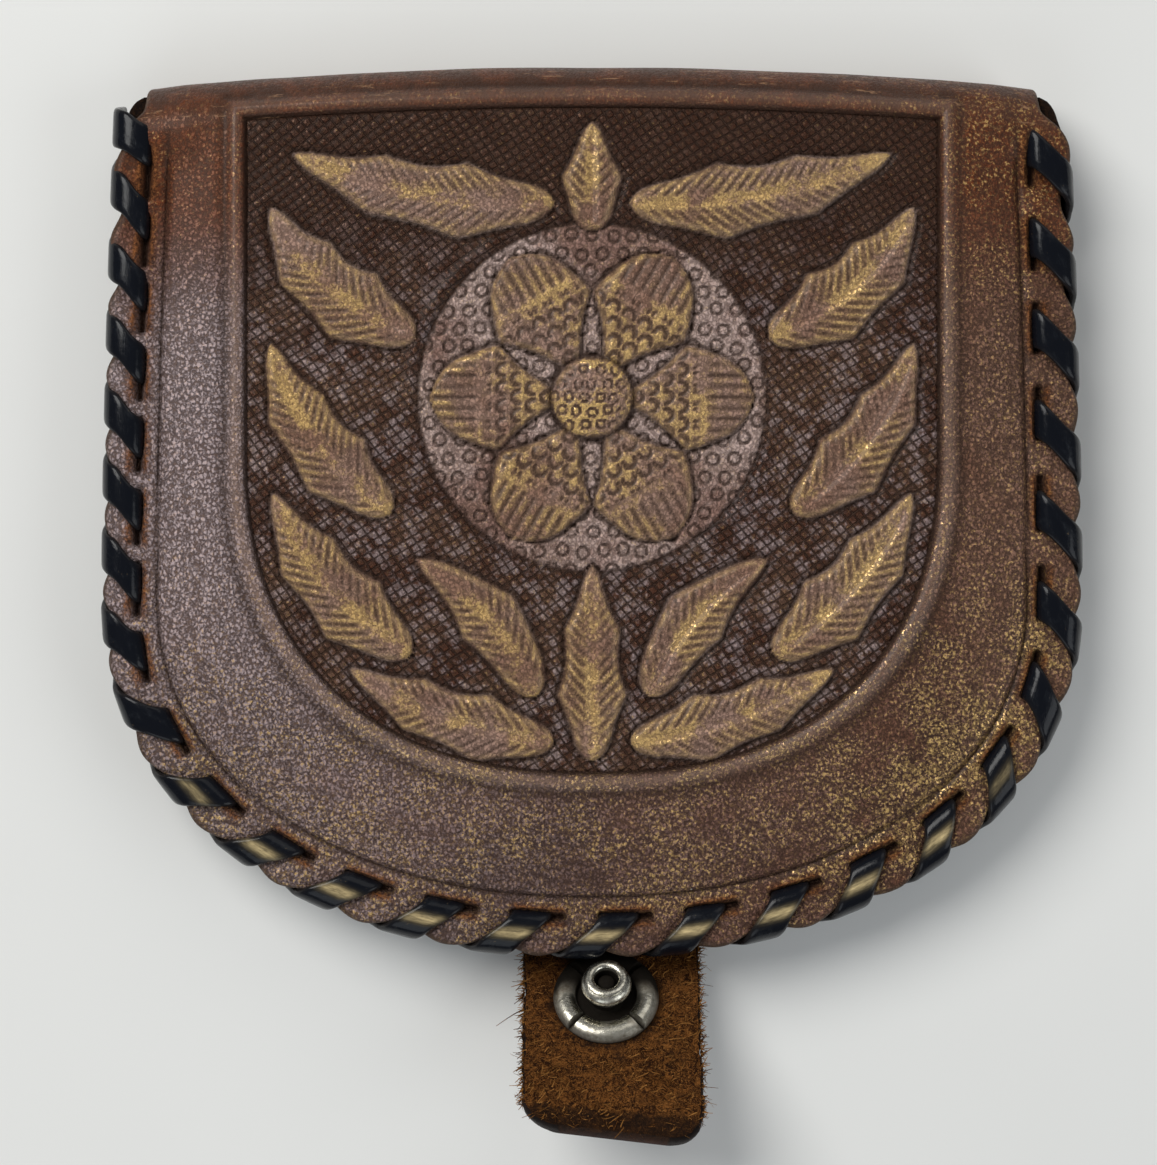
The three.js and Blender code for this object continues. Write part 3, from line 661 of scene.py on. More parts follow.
def margin_leather(colours):
    """The smooth, waxed leather of the margin, the bead, the border and the fold."""
    paint = Paint("waxed_leather", **WAX)
    place = paint.place("grain_at")
    x, y, _ = paint.parts(place)
    broad = paint.noise(place, 17.0, 3.0)
    patches = paint.noise(place, 5.5, 4.0, 0.6)
    mottle = paint.noise(place, 1.7, 4.0, 0.7)
    speckle = paint.noise(place, 0.36, 4.0, 0.75)
    tops = pebbled(paint, place)
    burnish = paint.value("burnish")
    raised = paint.value("raised")
    cut = paint.value("cut")
    slit = paint.value("slit")
    lip = paint.value("lip")
    edge = paint.value("edge")
    deep, dark = tuple(colours.deep), tuple(colours.dark)
    base = paint.mix(paint.between(broad, 0.35, 0.65), dark, tuple(colours.mid))
    top = paint.between(y, 25.0, 45.0)
    fold = paint.between(y, 50.0, 53.5)
    red = (burnish * 0.45 + top * 0.85 + (patches - 0.5) * 0.9).clipped()
    base = paint.mix(red, base, tuple(colours.red))
    shade = paint.between(mottle, 0.36, 0.62) * (1.0 - top * 0.35)
    base = paint.mix(((1.0 - shade) * 0.5).clipped(), base, dark)
    # Painted sheen: a greyish purple reflection, strongest on the left margin and low down, with some
    # wax bloom over the flats.
    left = paint.between(x, 10.0, -36.0) * (1.0 - paint.between(y, 4.0, -24.0) * 0.5)
    low = paint.between(y, 10.0, -18.0) * paint.between(x, 40.0, 0.0)
    sheen_and_bloom = paint.between(patches, 0.3, 0.7) * 0.14 + left * 0.84 + low * 0.1
    sheen_and_bloom = sheen_and_bloom * (1.0 - top) * (1.0 - red * 0.6)
    base = paint.mix((sheen_and_bloom * (0.6 + tops * 0.4)).clipped(), base, tuple(colours.bloom_and_sheen))
    # Paler towards the right edge, in patches.
    right = paint.between(x, 34.0, 42.0) * (1.0 - top) * (0.3 + patches * 0.4)
    base = paint.mix(right.clipped(), base, PALER_RIGHT_SIDE)
    smudge = sum(paint.spot(place, spot, radius) * strength for spot, radius, strength in SMUDGES)
    smudge = (smudge * paint.between(patches, 0.2, 0.55) * 0.85).clipped()
    base = paint.mix(smudge, base, SMUDGE)
    # Where the painted grain highlights, pit shade and glints are strongest: low down, on the right,
    # and on the burnished bead and border.
    zone = paint.between(y, 14.0, -20.0) * 0.7 + paint.between(x, 18.0, 46.0) * 0.45
    zone = (zone * paint.between(patches, 0.25, 0.62) + burnish * 0.35 + top * 0.12).clipped()
    # Painted highlights on the grain.
    grain_highlight = paint.between(speckle, 0.5, 0.6) * (0.25 + zone * 0.5) * (1.0 - top * 0.7)
    base = paint.mix(grain_highlight.clipped(), base, GRAIN_HIGHLIGHT)
    # Painted shade in the grain's pits.
    pit_shade = paint.between(speckle, 0.5, 0.41) * (0.3 + zone * 0.45)
    base = paint.mix(pit_shade.clipped(), base, deep)
    # Painted highlights: bronze glints on the pebbles' tops, partly metallic bronze flecks.
    glint = paint.between(speckle + zone * 0.15, 0.6, 0.7) * (0.25 + zone)
    glint = (glint * (0.35 + tops * 0.8)).clipped()
    base = paint.mix((glint * 0.8).clipped(), base, tuple(colours.gold))
    # Painted shade between the grain's pebbles, weaker on the fold.
    base = paint.mix(((1.0 - tops) * 0.74 * (1.0 - fold * 0.4)).clipped(), base, deep)
    # Painted shade along the fold, where the hide curves over, deeper in dark patches.
    fold_shade = fold * (0.35 + paint.between(mottle + (patches - 0.5), 0.62, 0.38) * 0.6)
    base = paint.mix(fold_shade.clipped(), base, FOLD_SHADE)
    torn = paint.mix(paint.between(speckle, 0.4, 0.62), TORN_DARK, TORN_LIGHT)
    base = paint.mix((lip * (0.2 + mottle * 1.4)).clipped(), base, torn)
    base = paint.mix((edge * 0.85).clipped(), base, CUT_EDGE)
    # Painted shade in the cuts and the slits.
    base = paint.mix((cut * 0.9 + slit).clipped(), base, deep)
    # Painted highlight along the bead's ridge.
    base = paint.mix((raised * 0.32 * (1.0 - top * 0.6)).clipped(), base, BEAD_HIGHLIGHT)
    fleck = paint.between(paint.cells(place, 9.0), 0.022, 0.012)
    base = paint.mix(fleck, base, FLECK)
    scuffs = paint.noise(paint.stretch(place, (0.22, 1.5, 1.0)), 0.9, 4.0, 0.75)
    scuff = paint.between(scuffs, 0.6, 0.68) * paint.between(y, 49.0, 54.0)
    long = paint.stretch(place, (0.22, 1.0, 1.0))
    scratches = sum(paint.spot(long, spot, radius) for spot, radius in SCRATCHES)
    scuff = scuff + scratches * paint.between(speckle, 0.42, 0.56)
    base = paint.mix((scuff * 0.7).clipped(), base, SCUFF)
    rough = 0.3 + (1.0 - tops) * 0.2 + top * 0.08 + edge * 0.25 + lip * 0.35 - glint * 0.05
    height = tops * (0.125 - top * 0.06) + mottle * 0.13 + (patches - 0.5) * 0.16
    height = height + lip * speckle * 0.45
    return paint.finish(
        Base_Color=base,
        Roughness=rough.clipped(),
        Metallic=(glint * 0.5).clipped(),
        Coat_Weight=(0.1 + burnish * 0.1 + raised * 0.1 - slit - lip).clipped(),
        Normal=paint.bump(height),
    )


STAMPED_DARK = (0.24, 0.14, 0.115)
STAMPED_BLOOM_AND_SHEEN = (0.5, 0.375, 0.34)
HATCHED_LIGHT = (0.10, 0.05, 0.037)
HATCHED_TOP = (0.027, 0.006, 0.002)
RAISED_BROWN = (0.29, 0.155, 0.1)
DULL_BRONZE = (0.33, 0.20, 0.095)
EDGE_HIGHLIGHT = (0.55, 0.36, 0.2)


def hatch_lines(paint, x, y):
    """The crossed lines of the tooling's background: 0 in a line and 1 between."""
    waves = [paint.math("SINE", x * a + y * b) * size for size, a, b in HATCH_WAVES]
    waver = waves[0] + waves[1]
    turn = math.pi / HATCH_PITCH
    lines = [paint.math("SINE", (x * a + y * b + waver) * turn) for a, b in HATCH_WAYS]
    first, second = (paint.math("ABSOLUTE", line) for line in lines)
    return paint.math("MINIMUM", first, second)


def tooled_leather(colours):
    """The stamped field: painted shade in the cuts, bronze and painted highlights on what stands up.
    """
    paint = Paint("tooled_leather_field", **WAX)
    place = paint.place("grain_at")
    patches = paint.noise(place, 6.0, 4.0, 0.6)
    mottle = paint.noise(place, 1.6, 4.0, 0.7)
    speckle = paint.noise(place, 0.34, 4.0, 0.75)
    broad = paint.noise(place, 15.0, 2.0)
    tops = pebbled(paint, place)
    raised = paint.value("raised")
    cut = paint.value("cut")
    stamp = paint.value("stamp")
    hatched = paint.value("hatched")
    x, y, _ = paint.parts(place)
    deep, dark = tuple(colours.deep), tuple(colours.dark)
    squares = hatch_lines(paint, x, y)
    line = paint.between(squares + (mottle - 0.5) * 0.5, 0.5, 0.12) * hatched
    # Wax bloom and painted sheen: paler greyish patches on the field's flats.
    bloom_and_sheen_share = paint.between(broad + (mottle - 0.5) * 0.4, 0.36, 0.62)
    flat = paint.mix(bloom_and_sheen_share, STAMPED_DARK, STAMPED_BLOOM_AND_SHEEN)
    ground = paint.mix(paint.between(patches, 0.4, 0.68), dark, HATCHED_LIGHT)
    top = paint.between(y, 24.0, 44.0)
    ground = paint.mix((top * 0.85).clipped(), ground, HATCHED_TOP)
    # Dust and painted sheen over the hatched ground, fading towards the top.
    dust_and_sheen = paint.between(mottle, 0.45, 0.62) * (0.5 - top * 0.48)
    ground = paint.mix(dust_and_sheen, ground, tuple(colours.bloom_and_sheen))
    # Painted shade in the hatch lines.
    ground = paint.mix(line * 0.85, ground, deep)
    flat = paint.mix((raised * 0.7).clipped(), flat, RAISED_BROWN)
    base = paint.mix((1.0 - hatched).clipped(), ground, flat)
    zone = paint.between(patches + (mottle - 0.5) * 0.3, 0.38, 0.62)
    # Painted highlight along the edges of the raised forms, partly in bronze.
    edge_highlight = paint.value("edge_highlight") * paint.between(mottle, 0.3, 0.6)
    bronze = zone * (0.12 + raised * 0.95) * (1.0 - hatched * top * 0.8) + edge_highlight * 0.5
    bronze = bronze.clipped()
    base = paint.mix((bronze * 0.7).clipped(), base, DULL_BRONZE)
    # Painted shade in the pressed stamps.
    pressed = paint.between(stamp, 0.15, -0.9)
    base = paint.mix((pressed * 0.75).clipped(), base, deep)
    # Painted shade between the grain's pebbles.
    base = paint.mix(((1.0 - tops) * 0.6).clipped(), base, deep)
    # Painted shade in the cuts.
    base = paint.mix((cut * 0.9).clipped(), base, deep)
    # Painted highlight along the edges of the raised forms.
    base = paint.mix((edge_highlight * 0.45).clipped(), base, EDGE_HIGHLIGHT)
    # Painted highlights: bronze glints on the tops of what stands up, partly metallic bronze flecks.
    high = paint.between(stamp, -0.3, 0.3) * (1.0 - line) * (1.0 - cut * 0.8)
    glint = paint.between(speckle + bronze * 0.24, 0.57, 0.69) * (0.25 + bronze)
    glint = (glint * high * (0.4 + tops * 0.8)).clipped()
    base = paint.mix((glint * 0.9).clipped(), base, tuple(colours.gold))
    height = tops * 0.085 + mottle * 0.12 + (patches - 0.5) * 0.1 - line * 0.16
    return paint.finish(
        Base_Color=base,
        Roughness=(0.33 + cut * 0.3 - glint * 0.05 + (1.0 - tops) * 0.15).clipped(),
        Metallic=(glint * 0.55).clipped(),
        Coat_Weight=(0.08 + raised * 0.1).clipped(),
        Normal=paint.bump(height),
    )


NAP_SHADOW = (0.03, 0.009, 0.002)
NAP_HIGHLIGHT = (0.42, 0.18, 0.045)
NAP_STAIN = (0.04, 0.017, 0.007)
SHADOW_AND_END_BROWN = (0.02, 0.0095, 0.005)
LOOSE_FIBRE = (0.55, 0.25, 0.065)
SOILED_EDGE_AND_SHADOW = (0.012, 0.008, 0.007)


def suede_leather(colours):
    """The raw inner side of the hide and its smooth outer side, mixed by the value suede."""
    paint = Paint("raw_suede", Specular_IOR_Level=0.12)
    place = paint.place("grain_at")
    nap = paint.noise(place, 0.9, 5.0, 0.78, 1.2)
    fibres = paint.noise(place, 0.5, 3.0, 0.65, 3.5)
    patches = paint.noise(place, 3.2, 4.0, 0.65)
    mottle = paint.noise(place, 1.3, 4.0, 0.7)
    broad = paint.noise(place, 11.0, 4.0, 0.6)
    suede = paint.value("suede")
    edge = paint.value("edge")
    # Painted shadow near the pouch's rim and round the stud, and the darker end of the tab.
    shadow_and_dark_end = paint.value("shadow_and_dark_end")
    tuft = nap * 0.55 + fibres * 0.45
    fluff = paint.between(tuft, 0.44, 0.57)
    # Painted shadow between the tufts of the nap and painted highlights on its fibres.
    raw = paint.mix(fluff, NAP_SHADOW, tuple(colours.suede))
    raw = paint.mix(paint.between(fibres, 0.55, 0.66) * 0.75, raw, NAP_HIGHLIGHT)
    raw = paint.mix(paint.between(patches, 0.55, 0.7) * 0.6, raw, NAP_STAIN)
    # The painted shadow and the darker tab end, broken up by mottle.
    shadow_and_end = paint.between(shadow_and_dark_end + (mottle - 0.5) * 0.9, 0.3, 0.75)
    raw = paint.mix((shadow_and_end * 0.85).clipped(), raw, SHADOW_AND_END_BROWN)
    raw = paint.mix(paint.between(paint.value("tone"), 0.3, 1.0), raw, LOOSE_FIBRE)
    outer = paint.mix(paint.between(broad, 0.3, 0.7), tuple(colours.dark), tuple(colours.red))
    outer = paint.mix((paint.between(nap, 0.55, 0.4) * 0.45).clipped(), outer, tuple(colours.deep))
    # Painted shadow and the darker tab end on the smooth outer side.
    outer = paint.mix((shadow_and_dark_end * 0.9).clipped(), outer, SOILED_EDGE_AND_SHADOW)
    base = paint.mix(suede, outer, raw)
    # Dark cut edges.
    base = paint.mix((edge * 0.9).clipped(), base, SOILED_EDGE_AND_SHADOW)
    height = pebbled(paint, place) * 0.06 * (1.0 - suede) + tuft * suede * 1.1
    return paint.finish(
        Base_Color=base,
        Roughness=(0.45 + suede * 0.5).clipped(),
        Normal=paint.bump(height),
    )


# Lace and metal

DUSTY_LACE = (0.012, 0.014, 0.018)
LACE_SPECK = (0.32, 0.22, 0.1)
WORN_LACE = (0.035, 0.028, 0.022)
LACE_WARM_HIGHLIGHT = (0.85, 0.66, 0.34)
DULL_NICKEL = (0.42, 0.4, 0.33)
BROWN_STAIN = (0.10, 0.06, 0.028)
HOLLOW_SHADE = (0.006, 0.0045, 0.0035)


def lace_plastic(colours):
    """Glossy black lace with hairline scratches along it."""
    paint = Paint("glossy_lace", Specular_IOR_Level=0.14, Coat_Roughness=0.05, Coat_Weight=0.1)
    place = paint.place("grain_at")
    lines = paint.noise(paint.stretch(place, (0.25, 3.0, 1.0)), 0.7, 3.0, 0.6)
    dust = paint.noise(place, 1.6, 4.0, 0.7)
    wear = paint.value("wear")
    base = paint.mix(paint.between(dust, 0.5, 0.8), tuple(colours.lace), DUSTY_LACE)
    speck = paint.between(paint.noise(place, 0.3, 2.0), 0.69, 0.75) * paint.between(dust, 0.5, 0.7)
    base = paint.mix((speck * 0.5).clipped(), base, LACE_SPECK)
    base = paint.mix((wear * 0.3).clipped(), base, WORN_LACE)
    # Painted warm highlight, patchy along the strands.
    film = paint.noise(paint.stretch(place, (0.5, 1.8, 1.0)), 1.0, 4.0, 0.7)
    rub = paint.value("rub") * (film * 3.2 - 0.6)
    base = paint.mix(rub.clipped(), base, LACE_WARM_HIGHLIGHT)
    rough = 0.12 + paint.between(dust, 0.45, 0.8) * 0.16 + lines * 0.08
    return paint.finish(
        Base_Color=base,
        Roughness=rough,
        Normal=paint.bump(lines * 0.018 + dust * 0.05),
    )


def plated_metal(colours):
    """Tarnished nickel with brown stains and painted shade in its hollows."""
    paint = Paint("tarnished_nickel", Specular_IOR_Level=0.15)
    place = paint.object_place()
    tarnish_and_shade = paint.value("tarnish_and_shade")
    cloud = paint.noise(place, 1.8, 4.0, 0.65)
    fine = paint.noise(place, 0.35, 3.0, 0.6)
    stain = (paint.between(cloud, 0.5, 0.72) * 0.55 + tarnish_and_shade).clipped()
    base = paint.mix(paint.between(fine, 0.3, 0.7), tuple(colours.nickel), DULL_NICKEL)
    base = paint.mix(stain * 0.75, base, BROWN_STAIN)
    # Painted shade, near black, in the stud's slits, gap and hollow and on the post's tip.
    base = paint.mix((tarnish_and_shade * 0.96).clipped(), base, HOLLOW_SHADE)
    return paint.finish(
        Base_Color=base,
        Roughness=(0.2 + stain * 0.35 + fine * 0.12 + tarnish_and_shade * 0.2).clipped(),
        Metallic=(1.0 - stain * 0.4).clipped(),
        Normal=paint.bump(fine * 0.025 + cloud * 0.05),
    )


# Tooling


LEAF_STEPS = 60
LOBE_DEPTH = 0.22
RELIEF = 0.75
CUT_DEPTH = 0.3
LINE_DEPTH = 0.17
VEIN_PITCH = 1.3
RAY_PITCH = 1.15
SCALES_END = 0.62  # share of a petal that has scales
FLOWER_CENTRE = np.array([0.0, 21.0])
PETALS = 6
PETAL_INNER = 2.5
PETAL_OUTER = 17.0
PETAL_WIDTH = 6.2
HEART_RADIUS = 4.4
MEDALLION_RADIUS = 18.4
SPRAYS = [
    ((4, -15.2), (25.5, -7.5), -0.12, 3.8, 3),
    ((19, -6), (33.6, 11), -0.16, 4.3, 3),
    ((6, -10.5), (18.5, 4), 0.18, 3.7, 2),
    ((21, 9), (33.8, 27), -0.2, 4.2, 3),
    ((18.5, 27.5), (33.8, 42), -0.22, 4.4, 3),
    ((4, 41.5), (31.5, 47.6), -0.14, 4.2, 3),
]
MIDDLE_LEAVES = [
    ((0, 38.5), (0, 50), 0, 3.4, 2),
    ((0, -17.2), (0, 3.4), 0, 3.8, 3),
]


class Leaf:
    """A leaf or petal of the tooling: a bent centre line and a lobed half width."""

    def __init__(self, start, end, bow, width, lobes, peak=0.75, petal=False):
        self.start, self.end = np.array(start, float), np.array(end, float)
        along = self.end - self.start
        side = np.array([-along[1], along[0]]) * bow
        self.control = (self.start + self.end) / 2 + side
        self.width, self.lobes, self.peak, self.petal = width, lobes, peak, petal
        self.length = np.linalg.norm(along)

    def mirrored(self):
        """The same leaf on the other side of the middle."""
        made = Leaf(self.start, self.end, 0, self.width, self.lobes, self.peak, self.petal)
        for name in ("start", "end", "control"):
            setattr(made, name, getattr(self, name) * [-1, 1])
        return made

    def measure(self, x, y):
        """Share of the way along, signed distance from the centre line and inside the edge."""
        t = np.linspace(0, 1, LEAF_STEPS + 1)[:, None]
        line = self.start * (1 - t) ** 2 + self.control * 2 * t * (1 - t) + self.end * t**2
        tangent = np.gradient(line, axis=0)
        tangent /= np.linalg.norm(tangent, axis=1)[:, None]
        places = np.column_stack([x, y])
        apart = places[:, None, :] - line[None, :, :]
        nearest = np.argmin((apart**2).sum(2), axis=1)
        offset = places - line[nearest]
        step = self.length / LEAF_STEPS
        past = np.clip((offset * tangent[nearest]).sum(1) / step, -1, 1)
        share = (nearest + past) / LEAF_STEPS
        normal = np.column_stack([-tangent[nearest][:, 1], tangent[nearest][:, 0]])
        aside = (offset * normal).sum(1)
        inside = np.clip(share, 0, 1)
        swell = np.sin(math.pi * inside**self.peak).clip(0) ** 0.7
        lobe = 1 - LOBE_DEPTH * np.abs(np.sin(math.pi * self.lobes * inside))
        reach = self.width * swell * lobe
        distance = np.linalg.norm(offset, axis=1)
        return share, aside, reach, reach - np.where(reach > 0.05, np.abs(aside), distance)


def all_leaves():
    """The leaves on both sides and in the middle, and the flower's petals."""
    leaves = [Leaf(*spray) for spray in SPRAYS]
    leaves += [leaf.mirrored() for leaf in leaves]
    leaves += [Leaf(*middle) for middle in MIDDLE_LEAVES]
    for k in range(PETALS):
        angle = math.pi / 6 + k * 2 * math.pi / PETALS
        way = np.array([math.sin(angle), math.cos(angle)])
        start, end = FLOWER_CENTRE + way * PETAL_INNER, FLOWER_CENTRE + way * PETAL_OUTER
        leaves.append(Leaf(start, end, 0, PETAL_WIDTH, 2, 1.6, petal=True))
    return leaves


def cell_hash(a, b, seed):
    """A number from 0 to 1 for each cell of a pattern, the same on each run."""
    mixed = np.sin(a * 12.9898 + b * 78.233 + seed * 37.719) * 43758.5453
    return mixed - np.floor(mixed)


def ring_stamps(x, y):
    """Seeded background: a small domed ring in each cell of a loose pattern."""
    pitch, row_pitch = 2.15, 1.95
    row = np.floor(y / row_pitch)
    shifted = x / pitch + 0.5 * (row % 2)
    column = np.floor(shifted)
    jitter_x = (cell_hash(row, column, 1) - 0.5) * 0.45
    jitter_y = (cell_hash(row, column, 2) - 0.5) * 0.45
    px = (shifted - column - 0.5) * pitch - jitter_x
    py = y - (row + 0.5) * row_pitch - jitter_y
    radius = np.hypot(px, py)
    dome = 0.1 * np.clip(1 - (radius / 0.52) ** 2, 0, 1)
    return dome - 0.24 * bell((radius - 0.62) / 0.15) + 0.06 * bell((radius - 0.92) / 0.16)


def scale_stamps(along, aside):
    """Overlapping U stamps, row behind row."""
    pitch, row_pitch = 1.9, 1.55
    row = np.floor(along / row_pitch)
    shifted = aside / pitch + 0.5 * (row % 2)
    px = (shifted - np.floor(shifted) - 0.5) * pitch
    py = along - (row + 0.35) * row_pitch
    radius = np.hypot(px, py * 0.9)
    arch = bell((radius - 0.66) / 0.16) * smooth((py + 0.35) / 0.3)
    return -0.22 * arch


def hatch(x, y):
    """Crossed diagonal lines pressed into the background."""
    waver = sum(size * np.sin(x * a + y * b) for size, a, b in HATCH_WAVES)
    turn = math.pi / HATCH_PITCH
    first, second = (np.abs(np.sin((x * a + y * b + waver) * turn)) for a, b in HATCH_WAYS)
    return HATCH_DEPTH * (np.minimum(first, second) ** 0.6 - 0.6)


def tooling(x, y):
    """Height of the tooling above the field's floor, and what its colours need."""
    count = len(x)
    best = np.full(count, -99.0)
    second = np.full(count, -99.0)
    shape = np.zeros(count)
    stamp = np.zeros(count)
    for leaf in all_leaves():
        reach = leaf.length / 2 + leaf.width + 3
        middle = (leaf.start + leaf.end) / 2
        near = np.nonzero(np.hypot(x - middle[0], y - middle[1]) < reach)[0]
        share, aside, width, depth = leaf.measure(x[near], y[near])
        body = RELIEF * (1 - np.exp(-np.clip(depth, 0, None) / 0.5))
        vein = bell(aside / 0.42) * smooth((share - 0.03) / 0.1) * smooth((1 - share) / 0.12)
        fall = 0.22 * smooth(1 - np.abs(aside) / np.maximum(width, 0.1) * 1.1)
        along = share * leaf.length
        if leaf.petal:
            inner = smooth((SCALES_END - share) / 0.06)
            marks = scale_stamps(along, aside) * inner
            rays = np.abs(np.sin(math.pi * aside / RAY_PITCH)) ** 0.6
            tip = (1 - inner) * smooth((share - SCALES_END - 0.02) / 0.05)
            marks = marks - LINE_DEPTH * (1 - rays) * tip
            body = body - 0.5 * fall
        else:
            slant = along - 1.1 * np.abs(aside)
            lines = np.abs(np.sin(math.pi * slant / VEIN_PITCH)) ** 0.55
            outer = smooth((np.abs(aside) - 0.55) / 0.5)
            marks = -LINE_DEPTH * (1 - lines) * outer
            body = body - 0.3 * vein - 0.4 * fall
        marks = marks * smooth(depth / 0.4)
        won = depth > best[near]
        second[near] = np.where(won, best[near], np.maximum(second[near], depth))
        best[near] = np.where(won, depth, best[near])
        shape[near] = np.where(won, np.where(depth > 0, body, 0), shape[near])
        stamp[near] = np.where(won, np.where(depth > 0, marks, 0), stamp[near])
    from_centre = np.hypot(x - FLOWER_CENTRE[0], y - FLOWER_CENTRE[1])
    heart = HEART_RADIUS - from_centre
    dome = 0.15 + 1.1 * np.sqrt(np.clip(1 - (from_centre / HEART_RADIUS) ** 2, 0, 1))
    shape = np.where(heart > 0, dome, shape)
    beads = ring_stamps(x * 1.35, y * 1.35) * smooth(heart / 0.5)
    stamp = np.where(heart > 0, beads, stamp)
    inside = np.maximum(best, heart)
    second = np.where(heart > 0, -99, second)
    raised = smooth(inside / 0.5)
    ground = 1 - smooth((inside + 0.15) / 0.3)
    seeded = smooth((MEDALLION_RADIUS - from_centre) / 0.3)
    border = smooth((field_depth(x, y) - 0.55) / 0.3)
    stamp = stamp + ground * (seeded * ring_stamps(x, y) + (1 - seeded) * hatch(x, y) * border)
    # The cuts round the leaves, petals, heart and medallion, where the material paints shade.
    outline = bell((inside + 0.12) / 0.3) + bell(heart / 0.3)
    shared = bell((inside - second) / 0.28) * (second > 0.2)
    circle = bell((from_centre - MEDALLION_RADIUS) / 0.28) * ground
    cut = np.clip(outline + shared + circle * 0.9, 0, 1)
    ring = 0.22 * bell((from_centre - MEDALLION_RADIUS - 0.95) / 0.5) * ground
    height = shape + stamp - CUT_DEPTH * cut + ring
    hatched = ground * (1 - seeded)
    # Where a highlight is painted along the edges of the raised forms.
    edge_highlight = bell((inside - 0.5) / 0.3) * (1 - cut)
    values = {
        "raised": raised,
        "cut": cut,
        "stamp": stamp / HATCH_DEPTH,
        "hatched": hatched,
        "edge_highlight": edge_highlight,
    }
    return height, values


# Pieces


def hide_loops():
    """The hide's outer edge and, point for point, the edge of the field inside it."""
    bottom = round_bottom(RIM_HALF_WIDTH, RIM_ARC_DEPTH, RIM_POWER, RIM_ARC_Y)
    outer = u_curve(half_width, FOLD_END_Y, RIM_ARC_Y, bottom)
    lengths = lengths_along(outer)
    wanted = np.linspace(0, lengths[-1], HIDE_SLICES)
    outer = at_lengths(outer, lengths, wanted)
    inner_x, inner_top = FIELD_HALF_WIDTH - FIELD_TUCK, FIELD_TOP_Y - FIELD_TUCK
    depth = FIELD_ARC_DEPTH - FIELD_TUCK
    arc_points = round_bottom(inner_x, depth, FIELD_POWER, FIELD_ARC_Y)
    arc_lengths = lengths_along(arc_points)
    y = outer[:, 1]
    turns = np.nonzero(y < FIELD_ARC_Y)[0]
    share = (wanted[turns] - wanted[turns[0]]) / (wanted[turns[-1]] - wanted[turns[0]])
    arc_part = at_lengths(arc_points, arc_lengths, share * arc_lengths[-1])
    corner_y, end_x = 56, inner_x - 3.5
    side_y = np.interp(y, [FIELD_ARC_Y, FOLD_RISE_Y, corner_y], [FIELD_ARC_Y, FOLD_RISE_Y, inner_top])
    side_x = np.interp(y, [corner_y, FOLD_END_Y], [inner_x, end_x])
    inner = np.column_stack([np.sign(outer[:, 0]) * side_x, side_y])
    inner[turns] = arc_part
    across = np.linspace(-1, 1, FAR_SLICES + 1)[1:-1, None]
    far = np.column_stack([across * FLAP_HALF_WIDTH, np.full(len(across), FOLD_END_Y)])
    near = np.column_stack([across * end_x, np.full(len(across), inner_top)])
    return np.concatenate([outer, far]), np.concatenate([inner, near])


def hide_rows():
    """Rows of the hide's mesh round its section: zone, distance in that zone, and face."""
    edge = [0, 0.08, 0.22, 0.42, 0.65]
    outer = edge + list(np.arange(0.95, MARGIN_ZONE + 0.05, 0.33))
    middle = list(np.linspace(0, 1, 11)[1:-1])
    inner = list(np.arange(2.75, 0.2, -0.23)) + [0]
    top = [(0, d, 1) for d in outer] + [(1, f, 1) for f in middle] + [(2, e, 1) for e in inner]
    low_outer = [0, 0.1, 0.3, 0.65] + list(np.linspace(1.5, 6.3, 7))
    low = [(2, e, 0) for e in (0, 1.2, 2.4)] + [(1, f, 0) for f in (0.85, 0.65, 0.45, 0.25, 0.1)]
    low += [(0, d, 0) for d in reversed(low_outer)]
    return np.array(top + low)


def hide_top(x, y, dist, fold_side):
    """Height of the hide's smooth side before it is bent, and the values its colours need."""
    along, inset = RIM.nearest(x, np.minimum(y, LACE_TOP_Y))
    lacing = lacing_share(y)
    wave, slit, lip = stitch_marks(along, inset)
    low = smooth(-y / 30)
    bevel_at = FLANGE_WIDTH + 0.55 + 0.55 * low
    rise = np.clip((inset - bevel_at) / 7.0, 0, 1)
    rise = np.sin(rise * math.pi / 2) ** 0.8
    z = FLANGE_TOP + (MARGIN_TOP - FLANGE_TOP) * rise + crown(x, y) * rise
    z += 0.16 * smooth((inset - bevel_at) / 0.5) * lacing
    line = bell((inset - bevel_at) / 0.26) * lacing
    z -= BEVEL_DEPTH * line
    z += puffed(inset) * lacing * (0.24 - 0.5 * wave**1.4)
    z += (0.16 * lip - SLIT_DEPTH * slit) * lacing
    fold = fold_share(y)
    fold_top = FOLD_TOP_Z - FOLD_DROP * smooth((np.abs(x) - FOLD_DROP_X) / FOLD_DROP_LENGTH)
    fold_top = lerp(fold_top, 2 * FOLD_Z, smooth((y - 53) / 8))
    z = lerp(z, fold_top, fold)
    depth = field_depth(x, y)
    bead = bell((depth + BEAD_WIDTH * 0.48) / (BEAD_WIDTH * 0.36))
    groove = bell((depth + BEAD_WIDTH + 0.35) / 0.4)
    z += BEAD_HEIGHT * bead - 0.1 * groove - 0.75 * smooth((depth + 0.1) / 0.4)
    rounding = np.clip(1 - dist / EDGE_ROUND, 0, 1) * fold_side
    z -= EDGE_ROUND * (1 - np.sqrt(1 - rounding**2))
    border = bell((inset - bevel_at + 1.2) / 0.8) * lacing
    values = {
        "burnish": np.clip(bead * 0.9 + 0.5 * border, 0, 1),
        # cut marks where shade is painted: the bevel line, the groove beside the bead and the field's
        # edge.
        "cut": np.clip(line * 0.9 + 0.7 * groove + smooth((depth + 0.2) / 0.3), 0, 1),
        "slit": np.clip(slit * 1.3 * lacing, 0, 1),
        "lip": np.clip(lip * lacing, 0, 1),
        "edge": (1 - smooth((dist - 0.1) / 0.5)) * fold_side,
        "raised": bead,
    }
    return z, values, wave * lacing


